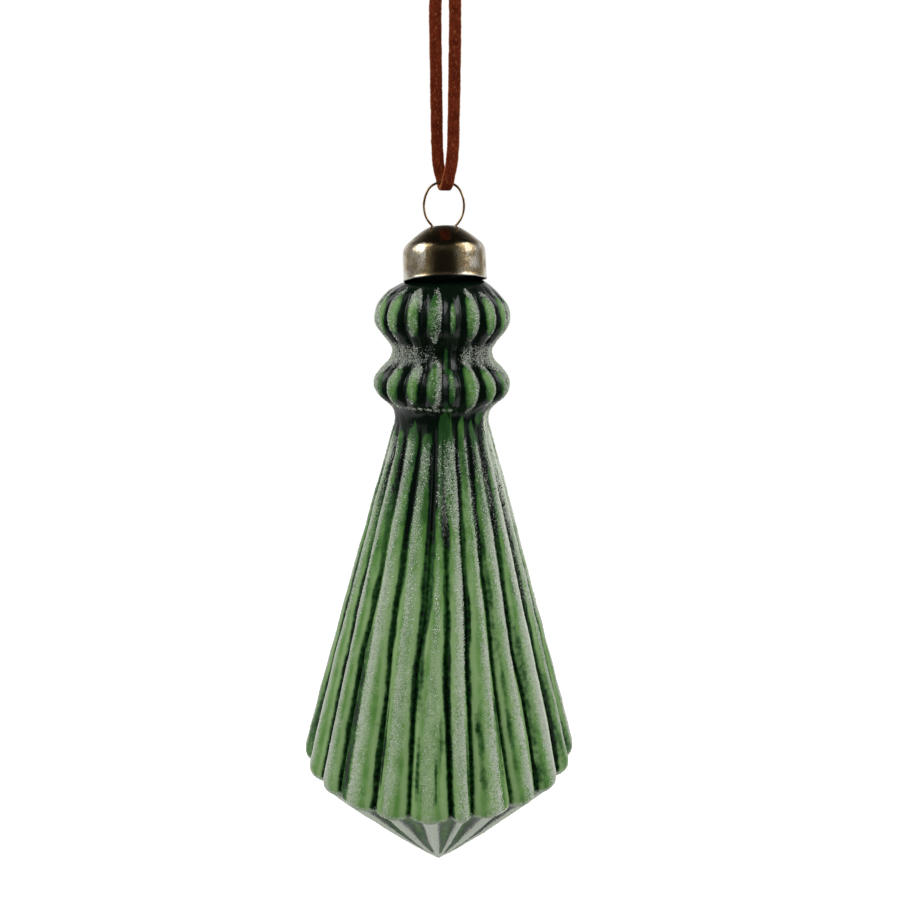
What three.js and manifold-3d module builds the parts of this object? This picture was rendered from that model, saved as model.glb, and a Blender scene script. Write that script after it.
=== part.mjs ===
// Hanging glass finial ornament: a ribbed, mould-blown glass drop under a sheet brass cap,
// held by one sprung wire whose ring hangs in a folded loop of flat suede lace.
// Millimetres, +Z up. The origin is the place where the loop hangs on a hook, under its knot.

import * as THREE from 'three';
import Module from 'manifold-3d';
import { mergeVertices } from 'three/addons/utils/BufferGeometryUtils.js';

const wasm = await Module();
wasm.setup();

// Clearances
const SEAT_GAP = 0.3;
const BEND_GAP = 0.5;
const HOLE_GAP = 0.2;

// Suede lace
const LACE_WIDTH = 3.0;
const LACE_THICKNESS = 1.5;
const LACE_EDGE_BEVEL = 0.4;
const LACE_STEPS = 72;

// The lace's centreline: down the strand behind the ring's wire, under it, up the one in front
const LACE_ROUTE = [
  [-1.65, 0.2, 0.8],
  [-1.68, 0.21, -0.2],
  [-2.05, 0.3, -2.2],
  [-2.3, 0.4, -5.5],
  [-2.27, 0.5, -11.5],
  [-2.1, 0.65, -20],
  [-1.93, 0.85, -27.7],
  [-1.75, 1.1, -34.5],
  [-1.58, 1.4, -40],
  [-1.2, 1.62, -43.3],
  [-0.72, 1.7, -45.3],
  [-0.3, 1.62, -46.9],
  [0.02, 1.15, -48.08],
  [0.4, 0, -48.58],
  [0.8, -1.22, -48.08],
  [1.12, -1.75, -46.9],
  [1.5, -1.85, -45.3],
  [1.9, -1.72, -43.3],
  [2.25, -1.4, -40],
  [2.38, -1.1, -34.5],
  [2.44, -0.85, -27.7],
  [2.5, -0.65, -20],
  [2.51, -0.5, -11.5],
  [2.4, -0.4, -5.5],
  [2.1, -0.3, -2.2],
  [1.68, -0.21, -0.2],
  [1.65, -0.2, 0.8],
];

// Knot in the lace's two ends
const KNOT_HEIGHT = 7.6;
const KNOT_HALF_WIDTH = 4.6;
const KNOT_DEPTH_SHARE = 0.72;
const TAIL_LENGTH = 8.5;
const TAIL_SPREAD = 0.32;
const TAIL_OFFSET = 1.7;

// Wire hanger: one wire bent into a ring, its two legs sprung apart inside the glass neck
const WIRE_DIAMETER = 0.6;
const RING_HALF_WIDTH = 5.05;
const RING_HEIGHT = 10.6;
const LEG_HALF_GAP = 2.5;
const LEG_LENGTH = 26;
const WIRE_STEPS = 88;

// Cap of pressed sheet brass, seated a little crooked
const CAP_HEIGHT = 12.9;
const CAP_WALL = 0.45;
const CAP_DOME_DEPTH = 6.2;
const CAP_SHOULDER_RADIUS = 9.8;
const CAP_SKIRT_RADIUS = 10.35;
const CAP_RIM_RADIUS = 10.75;
const CAP_RIM_LIP = 0.25;
const CAP_TILT_BACK = 6.5;
const CAP_TILT_SIDE = 2.4;
const CAP_SEGMENTS = 44;

// Glass: depths are measured down from the shoulder that the cap's rim sits on
const NECK_PLAY = 1.9;
const NECK_HEADROOM = 0.4;
const GLASS_WALL = 1.5;
const SHOULDER_LEDGE = 0.65;
const UPPER_BULGE_RADIUS = 17.6;
const UPPER_BULGE_DEPTH = 8.3;
const WAIST_RADIUS = 13.05;
const WAIST_DEPTH = 16.8;
const LOWER_BULGE_RADIUS = 17.95;
const LOWER_BULGE_DEPTH = 25.5;
const THROAT_RADIUS = 12.4;
const THROAT_DEPTH = 34.3;
const RIM_RADIUS = 38.35;
const RIM_DEPTH = 128;
const RIM_ROUND = 3.0;
const RIM_INSET = 1.4;
const TIP_DEPTH = 170.5;

// Glass relief: lobes round the two bulges, ribs down the cone, azimuths in degrees from the front
const LOBE_COUNT = 20;
const LOBE_DEPTH = 1.3;
const LOBE_START = -56.3;
const FRONT_LOBE_WIDTHS = [22.4, 18.9, 16.3, 15.2, 18.2, 20];
const RIB_COUNT = 24;
const RIB_DEPTH = 2.3;
const RIB_DEPTH_AT_THROAT = 0.6;
const RIB_START = -71.7;
const FRONT_RIB_WIDTHS = [13.9, 12.4, 18.6, 14.6, 16.7, 9.6, 16.1, 14, 15.4, 13.9];
const THROAT_HOLLOW = 0.012;

const DEGREE = Math.PI / 180;

// Heights worked out down the stack, from the lace's bend to the glass
const bendHeight = Math.min(...LACE_ROUTE.map((point) => point[2]));
const ringTopHeight = bendHeight + LACE_THICKNESS / 2 + BEND_GAP + WIRE_DIAMETER / 2;
const capTopHeight = ringTopHeight - RING_HEIGHT;
const capLean = Math.hypot(CAP_TILT_BACK, CAP_TILT_SIDE) * DEGREE;
const lipRadius = CAP_RIM_RADIUS + CAP_RIM_LIP;
const rimDrop = CAP_HEIGHT * Math.cos(capLean) + lipRadius * Math.sin(capLean);
const shoulderHeight = capTopHeight - rimDrop - SEAT_GAP;
const mouthHeight = capTopHeight - CAP_DOME_DEPTH - NECK_HEADROOM;
const neckLength = mouthHeight - shoulderHeight;
const neckRadius = CAP_SKIRT_RADIUS - CAP_WALL - NECK_PLAY;
const boreRadius = neckRadius - GLASS_WALL;
const holeRadius = LEG_HALF_GAP + WIRE_DIAMETER / 2 + HOLE_GAP;
const shoulderRadius = CAP_RIM_RADIUS + SHOULDER_LEDGE;

function finish(color, roughness, metalness) {
  return new THREE.MeshStandardMaterial({ color, roughness, metalness });
}

const suede = finish(0x5a2d16, 0.95, 0);
const agedBrass = finish(0x5c5034, 0.42, 0.9);
const wireBrass = finish(0x6b5230, 0.35, 0.9);
const greenGlass = finish(0x3f7a35, 0.3, 0);

function piece(name, geometry, material) {
  const mesh = new THREE.Mesh(geometry, material);
  mesh.name = name;
  return mesh;
}

function outline(points) {
  return new THREE.Shape(points.map(([x, y]) => new THREE.Vector2(x, y)));
}

function swept(section, path, steps) {
  return new THREE.ExtrudeGeometry(section, { extrudePath: path, steps, bevelEnabled: false });
}

function turned(points, segments) {
  const profile = points.map(([r, z]) => new THREE.Vector2(r, z));
  return new THREE.LatheGeometry(profile, segments).rotateX(Math.PI / 2);
}

function toSolid(geometry) {
  const bare = geometry.clone();
  bare.deleteAttribute('normal');
  bare.deleteAttribute('uv');
  const merged = mergeVertices(bare, 1e-4);
  return new wasm.Manifold(new wasm.Mesh({
    numProp: 3,
    vertProperties: Float32Array.from(merged.attributes.position.array),
    triVerts: Uint32Array.from(merged.index.array),
  }));
}

function toGeometry(solid) {
  const mesh = solid.getMesh();
  const geometry = new THREE.BufferGeometry();
  geometry.setAttribute('position', new THREE.BufferAttribute(mesh.vertProperties, 3));
  geometry.setIndex(new THREE.BufferAttribute(mesh.triVerts, 1));
  return geometry;
}

// A flat lace's path: its stations gather where its points do, and its width stays crosswise
class LacePath extends THREE.CatmullRomCurve3 {
  getSpacedPoints(divisions) {
    return this.getPoints(divisions);
  }

  computeFrenetFrames(divisions) {
    const frames = { tangents: [], normals: [], binormals: [] };
    for (let i = 0; i <= divisions; i += 1) {
      const tangent = this.getTangent(i / divisions);
      const across = new THREE.Vector3(1, 0, 0).addScaledVector(tangent, -tangent.x).normalize();
      frames.tangents.push(tangent);
      frames.normals.push(across);
      frames.binormals.push(new THREE.Vector3().crossVectors(tangent, across));
    }
    return frames;
  }
}

function laceSection() {
  const w = LACE_WIDTH / 2;
  const t = LACE_THICKNESS / 2;
  const b = LACE_EDGE_BEVEL;
  return outline([
    [-w, -t + b], [-w + b, -t], [w - b, -t], [w, -t + b],
    [w, t - b], [w - b, t], [-w + b, t], [-w, t - b],
  ]);
}

function laceLoop() {
  const path = new LacePath(LACE_ROUTE.map(([x, y, z]) => new THREE.Vector3(x, y, z)));
  return swept(laceSection(), path, LACE_STEPS);
}

// The knot is a squat, flattened barrel with the lace's two cut ends standing out of its top
function laceKnot() {
  const foot = LACE_ROUTE[0][2] + SEAT_GAP;
  const footRadius = KNOT_HALF_WIDTH * 0.76;
  const barrel = turned([
    [0, foot],
    [footRadius, foot],
    [KNOT_HALF_WIDTH * 0.95, foot + KNOT_HEIGHT * 0.2],
    [KNOT_HALF_WIDTH, foot + KNOT_HEIGHT * 0.45],
    [KNOT_HALF_WIDTH * 0.93, foot + KNOT_HEIGHT * 0.72],
    [KNOT_HALF_WIDTH * 0.62, foot + KNOT_HEIGHT * 0.95],
    [0, foot + KNOT_HEIGHT],
  ], 20).scale(1, KNOT_DEPTH_SHARE, 1);
  let knot = toSolid(barrel);
  for (const side of [-1, 1]) {
    const tail = new THREE.BoxGeometry(LACE_WIDTH, LACE_THICKNESS, TAIL_LENGTH + KNOT_HEIGHT / 2);
    tail.translate(0, 0, (TAIL_LENGTH + KNOT_HEIGHT / 2) / 2);
    tail.rotateY(side * TAIL_SPREAD);
    tail.translate(side * TAIL_OFFSET, 0, foot + KNOT_HEIGHT / 2);
    knot = knot.add(toSolid(tail));
  }
  return toGeometry(knot);
}

// Right half of the wire from the ring's top to the foot of its leg, as [x, height]
function wireHalf() {
  const legX = boreRadius - SEAT_GAP - WIRE_DIAMETER / 2;
  const ring = (share) => ringTopHeight - RING_HEIGHT * share;
  return [
    [RING_HALF_WIDTH * 0.52, ring(0.065)],
    [RING_HALF_WIDTH * 0.87, ring(0.27)],
    [RING_HALF_WIDTH, ring(0.54)],
    [RING_HALF_WIDTH * 0.9, ring(0.76)],
    [LEG_HALF_GAP + (RING_HALF_WIDTH - LEG_HALF_GAP) * 0.25, ring(0.91)],
    [LEG_HALF_GAP, capTopHeight + 0.1],
    [LEG_HALF_GAP, capTopHeight - 1.2],
    [LEG_HALF_GAP + (legX - LEG_HALF_GAP) * 0.3, capTopHeight - 3.6],
    [LEG_HALF_GAP + (legX - LEG_HALF_GAP) * 0.72, mouthHeight + 0.4],
    [legX, mouthHeight - 3],
    [legX, mouthHeight - 6],
    [legX, capTopHeight - LEG_LENGTH],
  ];
}

function hangerWire() {
  const half = wireHalf();
  const left = half.map(([x, z]) => new THREE.Vector3(-x, 0, z)).reverse();
  const right = half.map(([x, z]) => new THREE.Vector3(x, 0, z));
  const path = new THREE.CatmullRomCurve3([...left, new THREE.Vector3(0, 0, ringTopHeight), ...right]);
  const section = outline(Array.from({ length: 8 }, (_, i) => {
    const angle = (i + 0.5) * Math.PI / 4;
    return [Math.cos(angle) * WIRE_DIAMETER / 2, Math.sin(angle) * WIRE_DIAMETER / 2];
  }));
  return swept(section, path, WIRE_STEPS);
}

// Cap profile about its own axis, from the hole's edge at height 0 down to the rolled rim
function cap() {
  const slope = CAP_DOME_DEPTH / (CAP_SHOULDER_RADIUS - holeRadius);
  const wall = CAP_WALL;
  const outer = [
    [holeRadius + wall * 0.6, 0],
    [holeRadius + (CAP_SHOULDER_RADIUS - holeRadius) * 0.42, -CAP_DOME_DEPTH * 0.38],
    [holeRadius + (CAP_SHOULDER_RADIUS - holeRadius) * 0.82, -CAP_DOME_DEPTH * 0.76],
    [CAP_SHOULDER_RADIUS, -CAP_DOME_DEPTH],
    [CAP_SKIRT_RADIUS - 0.1, -CAP_DOME_DEPTH - 1.3],
    [CAP_SKIRT_RADIUS, -CAP_DOME_DEPTH - 2.8],
    [CAP_RIM_RADIUS, -CAP_HEIGHT + 3 * CAP_RIM_LIP],
    [CAP_RIM_RADIUS + CAP_RIM_LIP, -CAP_HEIGHT + 2 * CAP_RIM_LIP],
    [CAP_RIM_RADIUS + CAP_RIM_LIP, -CAP_HEIGHT + CAP_RIM_LIP],
    [CAP_RIM_RADIUS, -CAP_HEIGHT],
  ];
  const inset = wall * Math.hypot(1, slope) / 2;
  const inner = [
    [CAP_RIM_RADIUS - wall, -CAP_HEIGHT],
    [CAP_RIM_RADIUS - wall, -CAP_HEIGHT + 3 * CAP_RIM_LIP],
    [CAP_SKIRT_RADIUS - wall, -CAP_DOME_DEPTH - 2.8],
    [CAP_SHOULDER_RADIUS - wall, -CAP_DOME_DEPTH - wall],
    [holeRadius + (CAP_SHOULDER_RADIUS - holeRadius) * 0.82 - inset, -CAP_DOME_DEPTH * 0.76 - inset],
    [holeRadius + (CAP_SHOULDER_RADIUS - holeRadius) * 0.42 - inset, -CAP_DOME_DEPTH * 0.38 - inset],
    [holeRadius, -wall * 1.3],
    [holeRadius, -wall * 0.4],
  ];
  return turned([...outer, ...inner, outer[0]].reverse(), CAP_SEGMENTS);
}

// Azimuths that part a ring of ribs or lobes: the front ones have their own widths, the rest share
function partings(start, frontWidths, count) {
  const frontSpan = frontWidths.reduce((sum, width) => sum + width, 0);
  const restWidth = (360 - frontSpan) / (count - frontWidths.length);
  const azimuths = [start];
  for (let i = 0; i < count; i += 1) {
    azimuths.push(azimuths[i] + (i < frontWidths.length ? frontWidths[i] : restWidth));
  }
  return azimuths;
}

// Share of the rib depth cut away at a place across one rib, 0 and 1 being its two grooves
function ribCut(share) {
  return 1 - Math.abs(Math.sin(Math.PI * share)) ** 0.55;
}

// Share of the lobe depth cut away at an azimuth
function lobeCut(azimuth) {
  const valleys = partings(LOBE_START, FRONT_LOBE_WIDTHS, LOBE_COUNT);
  const turnedOn = LOBE_START + ((azimuth - LOBE_START) % 360 + 360) % 360;
  const next = valleys.findIndex((valley) => valley > turnedOn);
  const share = (turnedOn - valleys[next - 1]) / (valleys[next] - valleys[next - 1]);
  return 1 - Math.abs(Math.sin(Math.PI * share)) ** 0.7;
}

// Radius that swings from one to another in a smooth S
function swing(from, to, share) {
  return from + (to - from) * (1 - Math.cos(Math.PI * share)) / 2;
}

// Outer outline of the glass from the mouth down: crest radius, depth, rib depth and lobe depth
function glassRows() {
  const rows = [
    { r: neckRadius - 0.5, d: -neckLength, rib: 0, lobe: 0 },
    { r: neckRadius, d: -neckLength + 0.6, rib: 0, lobe: 0 },
    { r: neckRadius, d: -1.2, rib: 0, lobe: 0 },
    { r: neckRadius + 0.4, d: -0.15, rib: 0, lobe: 0 },
    { r: shoulderRadius, d: 0, rib: 0, lobe: 0 },
  ];
  for (const share of [0.18, 0.42, 0.7, 1]) {
    const swell = Math.sin(Math.PI * share / 2) ** 0.8;
    rows.push({
      r: shoulderRadius + (UPPER_BULGE_RADIUS - shoulderRadius) * swell,
      d: UPPER_BULGE_DEPTH * share,
      rib: 0,
      lobe: LOBE_DEPTH * share ** 0.5,
    });
  }
  const spans = [
    [UPPER_BULGE_RADIUS, WAIST_RADIUS, UPPER_BULGE_DEPTH, WAIST_DEPTH, 1, 0.3],
    [WAIST_RADIUS, LOWER_BULGE_RADIUS, WAIST_DEPTH, LOWER_BULGE_DEPTH, 0.3, 1],
    [LOWER_BULGE_RADIUS, THROAT_RADIUS, LOWER_BULGE_DEPTH, THROAT_DEPTH, 1, 0],
  ];
  for (const [r0, r1, d0, d1, lobe0, lobe1] of spans) {
    for (const share of [0.25, 0.5, 0.75, 1]) {
      rows.push({
        r: swing(r0, r1, share),
        d: d0 + (d1 - d0) * share,
        rib: 0,
        lobe: LOBE_DEPTH * (lobe0 + (lobe1 - lobe0) * share),
      });
    }
  }
  for (const share of [0.03, 0.1, 0.24, 0.5, 0.78, 1]) {
    rows.push({
      r: coneRadius(share),
      d: THROAT_DEPTH + (RIM_DEPTH - THROAT_DEPTH) * share,
      rib: ribDepth(share),
      lobe: 0,
    });
  }
  rows.push({ r: RIM_RADIUS - 0.35, d: RIM_DEPTH + RIM_ROUND * 0.6, rib: RIB_DEPTH, lobe: 0 });
  for (const share of [0.03, 0.25, 0.52, 0.8]) {
    rows.push({
      r: (RIM_RADIUS - RIM_INSET) * (1 - share),
      d: RIM_DEPTH + RIM_ROUND + (TIP_DEPTH - RIM_DEPTH - RIM_ROUND) * share,
      rib: RIB_DEPTH * (1 - share) ** 1.2,
      lobe: 0,
    });
  }
  return rows;
}

// Crest radius down the cone: it leaves the throat in a short hollow curve, then runs straight
function coneRadius(share) {
  const eased = (s) => s - THROAT_HOLLOW * (1 - Math.exp(-s / THROAT_HOLLOW));
  return THROAT_RADIUS + (RIM_RADIUS - THROAT_RADIUS) * eased(share) / eased(1);
}

function ribDepth(share) {
  return RIB_DEPTH_AT_THROAT + (RIB_DEPTH - RIB_DEPTH_AT_THROAT) * share ** 0.8;
}

// Columns of points round the glass, five to a rib and closest beside its grooves
function glassColumns() {
  const grooves = partings(RIB_START, FRONT_RIB_WIDTHS, RIB_COUNT);
  const columns = [];
  for (let i = 0; i < RIB_COUNT; i += 1) {
    for (const share of [0, 0.14, 0.36, 0.64, 0.86]) {
      const azimuth = grooves[i] + (grooves[i + 1] - grooves[i]) * share;
      columns.push({ azimuth, cut: ribCut(share) });
    }
  }
  return columns;
}

// Inner surface of the glass from the mouth down, as [radius, depth]
function hollowRows() {
  const wall = GLASS_WALL;
  const ribbed = (share) => coneRadius(share) - ribDepth(share) - wall * 1.1;
  const down = (share) => THROAT_DEPTH + (RIM_DEPTH - THROAT_DEPTH) * share;
  return [
    [boreRadius, -neckLength],
    [boreRadius, wall],
    [UPPER_BULGE_RADIUS - LOBE_DEPTH - wall, UPPER_BULGE_DEPTH],
    [WAIST_RADIUS - 0.3 * LOBE_DEPTH - wall, WAIST_DEPTH],
    [LOWER_BULGE_RADIUS - LOBE_DEPTH - wall, LOWER_BULGE_DEPTH],
    [THROAT_RADIUS - RIB_DEPTH_AT_THROAT - wall, THROAT_DEPTH],
    [ribbed(0.1), down(0.1)],
    [ribbed(0.5), down(0.5)],
    [ribbed(1), RIM_DEPTH],
    [(RIM_RADIUS - RIB_DEPTH - wall) * 0.48, RIM_DEPTH + (TIP_DEPTH - RIM_DEPTH) * 0.48],
    [0, TIP_DEPTH - wall * 2],
  ];
}

// Hollow glass as one closed skin: ribbed outside, plain inside, joined round the open mouth
function glassBody() {
  const columns = glassColumns();
  const outer = glassRows();
  const inner = hollowRows();
  const positions = [];
  const triangles = [];
  const around = columns.length;
  const half = around / 2;
  const place = (r, azimuth, depth) => {
    const angle = azimuth * DEGREE;
    positions.push(r * Math.sin(angle), -r * Math.cos(angle), shoulderHeight - depth);
  };

  for (const row of outer) {
    for (const { azimuth, cut } of columns) {
      place(row.r - row.rib * cut - row.lobe * lobeCut(azimuth), azimuth, row.d);
    }
  }
  const tip = outer.length * around;
  place(0, 0, TIP_DEPTH);
  for (let j = 0; j < outer.length; j += 1) {
    for (let i = 0; i < around; i += 1) {
      const next = (i + 1) % around;
      const [a, b] = [j * around + i, j * around + next];
      if (j + 1 === outer.length) {
        triangles.push(a, tip, b);
      } else {
        triangles.push(a, a + around, b + around, a, b + around, b);
      }
    }
  }

  const innerStart = tip + 1;
  const innerRings = inner.slice(0, -1);
  for (const [r, d] of innerRings) {
    for (let i = 0; i < half; i += 1) {
      place(r, columns[2 * i].azimuth, d);
    }
  }
  const innerTip = innerStart + innerRings.length * half;
  place(0, 0, inner.at(-1)[1]);
  for (let j = 0; j < innerRings.length; j += 1) {
    for (let i = 0; i < half; i += 1) {
      const next = (i + 1) % half;
      const [a, b] = [innerStart + j * half + i, innerStart + j * half + next];
      if (j + 1 === innerRings.length) {
        triangles.push(a, b, innerTip);
      } else {
        triangles.push(a, b, b + half, a, b + half, a + half);
      }
    }
  }

  for (let i = 0; i < half; i += 1) {
    const [o0, o1, o2] = [2 * i, 2 * i + 1, (2 * i + 2) % around];
    const [i0, i1] = [innerStart + i, innerStart + (i + 1) % half];
    triangles.push(o0, o1, i0, o1, o2, i1, o1, i1, i0);
  }

  const geometry = new THREE.BufferGeometry();
  geometry.setAttribute('position', new THREE.Float32BufferAttribute(positions, 3));
  geometry.setIndex(triangles);
  return geometry;
}

const capMesh = piece('cap', cap(), agedBrass);
capMesh.position.z = capTopHeight;
capMesh.rotation.set(-CAP_TILT_BACK * DEGREE, -CAP_TILT_SIDE * DEGREE, 0);

const finial = new THREE.Group();
finial.add(
  piece('lace_loop', laceLoop(), suede),
  piece('lace_knot', laceKnot(), suede),
  piece('hanger_wire', hangerWire(), wireBrass),
  capMesh,
  piece('glass_body', glassBody(), greenGlass),
);

export default finial;
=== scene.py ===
"""A hanging glass finial in a suede lace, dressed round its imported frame.

Sizes in the classes are millimetres in the frame's own axes: +Z up, -Y towards the
photograph's camera, and the origin where the lace's loop hangs, under its knot.
Meshes are made in metres, with each object at the origin and its place in its points.
"""

import logging
import math
from dataclasses import dataclass, field
from enum import Enum, IntEnum

import bpy
import numpy as np
from mathutils import Euler, Matrix, Vector

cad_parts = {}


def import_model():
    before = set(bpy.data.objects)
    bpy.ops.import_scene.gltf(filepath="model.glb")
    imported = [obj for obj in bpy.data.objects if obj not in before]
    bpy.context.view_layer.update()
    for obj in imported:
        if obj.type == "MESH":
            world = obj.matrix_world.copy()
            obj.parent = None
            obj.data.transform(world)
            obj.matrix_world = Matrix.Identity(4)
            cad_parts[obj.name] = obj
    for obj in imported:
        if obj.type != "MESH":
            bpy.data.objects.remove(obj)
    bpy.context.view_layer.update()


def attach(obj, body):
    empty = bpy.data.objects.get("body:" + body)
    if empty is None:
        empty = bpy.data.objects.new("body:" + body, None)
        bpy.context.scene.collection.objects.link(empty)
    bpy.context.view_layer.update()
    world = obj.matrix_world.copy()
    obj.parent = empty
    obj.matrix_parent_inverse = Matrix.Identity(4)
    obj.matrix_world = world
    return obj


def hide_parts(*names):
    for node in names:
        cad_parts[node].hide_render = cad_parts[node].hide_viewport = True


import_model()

log = logging.getLogger("finial")

MM = 0.001
Array = np.ndarray
Colour = tuple[float, float, float]
Point = tuple[float, float, float]
Socket = bpy.types.NodeSocket

WHITE = (1.0, 1.0, 1.0, 1.0)
TO_RIGHT = np.array([1.0, 0.0, 0.0])


class Zone(Enum):
    """Parts of the glass that carry a frost of their own, as the highest and lowest height."""

    BULGES = (-73.0, -106.0)
    CONE_UPPER = (-106.0, -158.0)
    CONE_LOWER = (-158.0, -203.4)
    UNDERSIDE = (-203.4, -243.0)


class Side(Enum):
    """Side of a lobe that gathers frost, or of the knot that a lace end takes."""

    LEFT = -1.0
    MIDDLE = 0.0
    RIGHT = 1.0


class Seed(IntEnum):
    """Whole numbers that pick the pattern of each random form."""

    LACE_NAP = 3
    KNOT_NAP = 6
    GRAINS = 5
    WIRE_BENDS = 11
    WIRE_WEAR = 12
    CAP_DENTS = 21
    CAP_SMALL_DENTS = 22
    CAP_WEAR = 23
    CAP_EDGE = 24
    GROOVE_PLACES = 31
    GROOVE_WIDTHS = 32
    GLASS_SLOW = 41
    GLASS_QUICK = 42
    GRAIN_SHAPES = 77


def ramp(value: Array, low: float, high: float) -> Array:
    """Smooth step that is 0 at low and 1 at high."""
    share = np.clip((value - low) / (high - low), 0.0, 1.0)
    return share * share * (3.0 - 2.0 * share)


def bump(value: Array, centre: float, half: float) -> Array:
    """Smooth hump that is 1 at centre and 0 from half away."""
    return ramp(half - np.abs(value - centre), 0.0, half)


def between(value: Array, first: float, full: float, fading: float, gone: float) -> Array:
    """Smooth plateau that rises from first to full and falls from fading to gone."""
    return ramp(value, first, full) * (1 - ramp(value, fading, gone))


def highest(*fields: Array) -> Array:
    """Largest of several fields at each point."""
    return np.maximum.reduce(fields)


def unevenness(points: Array, size: float, seed: int) -> Array:
    """Smooth noise that gives the same values each run.

    Args:
        points: Places in millimetres, one a row.
        size: Distance between the noise's own grid points.
        seed: Whole number that picks the pattern.

    Returns:
        One value for each place, from -1 to 1.
    """
    place = points / size + seed * 17.31
    cell = np.floor(place).astype(np.int64)
    part = place - cell
    part = part * part * (3.0 - 2.0 * part)
    total = np.zeros(len(points))
    for corner in range(8):
        step = np.array([corner & 1, corner >> 1 & 1, corner >> 2 & 1])
        x, y, z = (cell + step).T
        mixed = (x * 73856093 ^ y * 19349663 ^ z * 83492791 ^ seed * 40503) & 0x7FFFFFFF
        mixed = ((mixed ^ (mixed >> 13)) * 1274126177) & 0xFFFFFFFF
        value = ((mixed ^ (mixed >> 16)) & 0xFFFF) / 32767.5 - 1.0
        total += value * np.prod(np.where(step == 1, part, 1.0 - part), axis=1)
    return total


def through(knots: Array, spacing: float) -> Array:
    """Evenly spaced points on a centripetal Catmull-Rom curve.

    Args:
        knots: Points that the curve passes through, one a row.
        spacing: Distance between the points returned.

    Returns:
        Points along the curve, its two ends included.
    """
    ends = [2 * knots[0] - knots[1], *knots, 2 * knots[-1] - knots[-2]]
    dense = []
    for a, b, c, d in zip(ends, ends[1:], ends[2:], ends[3:]):
        first, mid, last = (max(np.linalg.norm(q - p), 1e-9) ** 0.5 for p, q in ((a, b), (b, c), (c, d)))
        start = ((b - a) / first - (c - a) / (first + mid) + (c - b) / mid) * mid
        end = ((c - b) / mid - (d - b) / (mid + last) + (d - c) / last) * mid
        t = np.linspace(0.0, 1.0, 40, endpoint=False)[:, None]
        dense.append(
            (2 * t**3 - 3 * t**2 + 1) * b + (t**3 - 2 * t**2 + t) * start
            + (3 * t**2 - 2 * t**3) * c + (t**3 - t**2) * end
        )
    line = np.vstack([*dense, knots[-1:]])
    along = np.concatenate([[0.0], np.cumsum(np.linalg.norm(np.diff(line, axis=0), axis=1))])
    stations = np.linspace(0.0, along[-1], max(2, round(along[-1] / spacing) + 1))
    return np.stack([np.interp(stations, along, line[:, k]) for k in range(3)], axis=1)


def turned_line(outline: tuple[tuple[float, float], ...], spacing: float) -> Array:
    """Evenly spaced radii and heights on the curve through an outline's own."""
    return through(np.array([(radius, 0.0, height) for radius, height in outline]), spacing)[:, [0, 2]]


def turned_points(radius: Array, angle: Array, height: Array) -> Array:
    """Points round the Z axis, one a row, where angle 0 is the front."""
    places = np.broadcast_arrays(radius * np.sin(angle), -radius * np.cos(angle), height)
    return np.stack(places, axis=-1).reshape(-1, 3)


def directions(line: Array) -> Array:
    """Unit direction of travel at each point of a line."""
    steps = np.gradient(line, axis=0)
    return steps / np.linalg.norm(steps, axis=1)[:, None]


def neighbours(around: int) -> list[tuple[int, int]]:
    """Each number of a ring with the one that follows it."""
    return [(i, (i + 1) % around) for i in range(around)]


def ring_faces(rows: int, around: int, start: int = 0) -> list[tuple[int, ...]]:
    """Four-sided faces between rings of points that follow each other.

    Args:
        rows: Number of rings.
        around: Points in each ring.
        start: Number of the first ring's first point.

    Returns:
        The faces, pointing outwards where rings run down and points run anticlockwise from above.
    """
    faces = []
    for first in range(start, start + (rows - 1) * around, around):
        below = first + around
        faces += [(first + i, below + i, below + j, first + j) for i, j in neighbours(around)]
    return faces


def rod_faces(rows: int, around: int) -> list[tuple[int, ...]]:
    """Faces of a rod: its rings, closed by one face at each end."""
    ends = [tuple(range(around)), tuple(reversed(range((rows - 1) * around, rows * around)))]
    return ring_faces(rows, around) + ends


def new_piece(name: str, points: Array, faces: list[tuple[int, ...]]) -> bpy.types.Object:
    """Smooth-shaded object in the scene.

    Args:
        name: Name of the object and its mesh.
        points: Places in millimetres.
        faces: Point numbers of each face.

    Returns:
        The new object, at the origin.
    """
    mesh = bpy.data.meshes.new(name)
    mesh.from_pydata((points * MM).tolist(), [], faces)
    mesh.shade_smooth()
    obj = bpy.data.objects.new(name, mesh)
    bpy.context.scene.collection.objects.link(obj)
    return obj


def record(obj: bpy.types.Object, **fields: Array) -> None:
    """Stores one number for each point under each field's name."""
    for name, values in fields.items():
        layer = obj.data.attributes.new(name, "FLOAT", "POINT")
        layer.data.foreach_set("value", np.asarray(values, dtype=np.float32))


def dress(obj: bpy.types.Object, material: bpy.types.Material, slot: str, body: str, *nodes: str) -> None:
    """Gives a finished piece its material and its body, and hides the solids that it stands for.

    Args:
        obj: The piece.
        material: Material of its whole surface.
        slot: Material slot of the record; not used.
        body: CAD body that it rides on.
        nodes: CAD nodes that it replaces.
    """
    obj.data.materials.clear()
    obj.data.materials.append(material)
    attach(obj, body)
    if nodes:
        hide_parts(*nodes)
    log.info("%s: %d faces on %s", obj.name, len(obj.data.polygons), body)


def opaque(colour: Colour) -> tuple[float, float, float, float]:
    """Colour with full cover."""
    return (*colour, 1.0)


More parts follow.
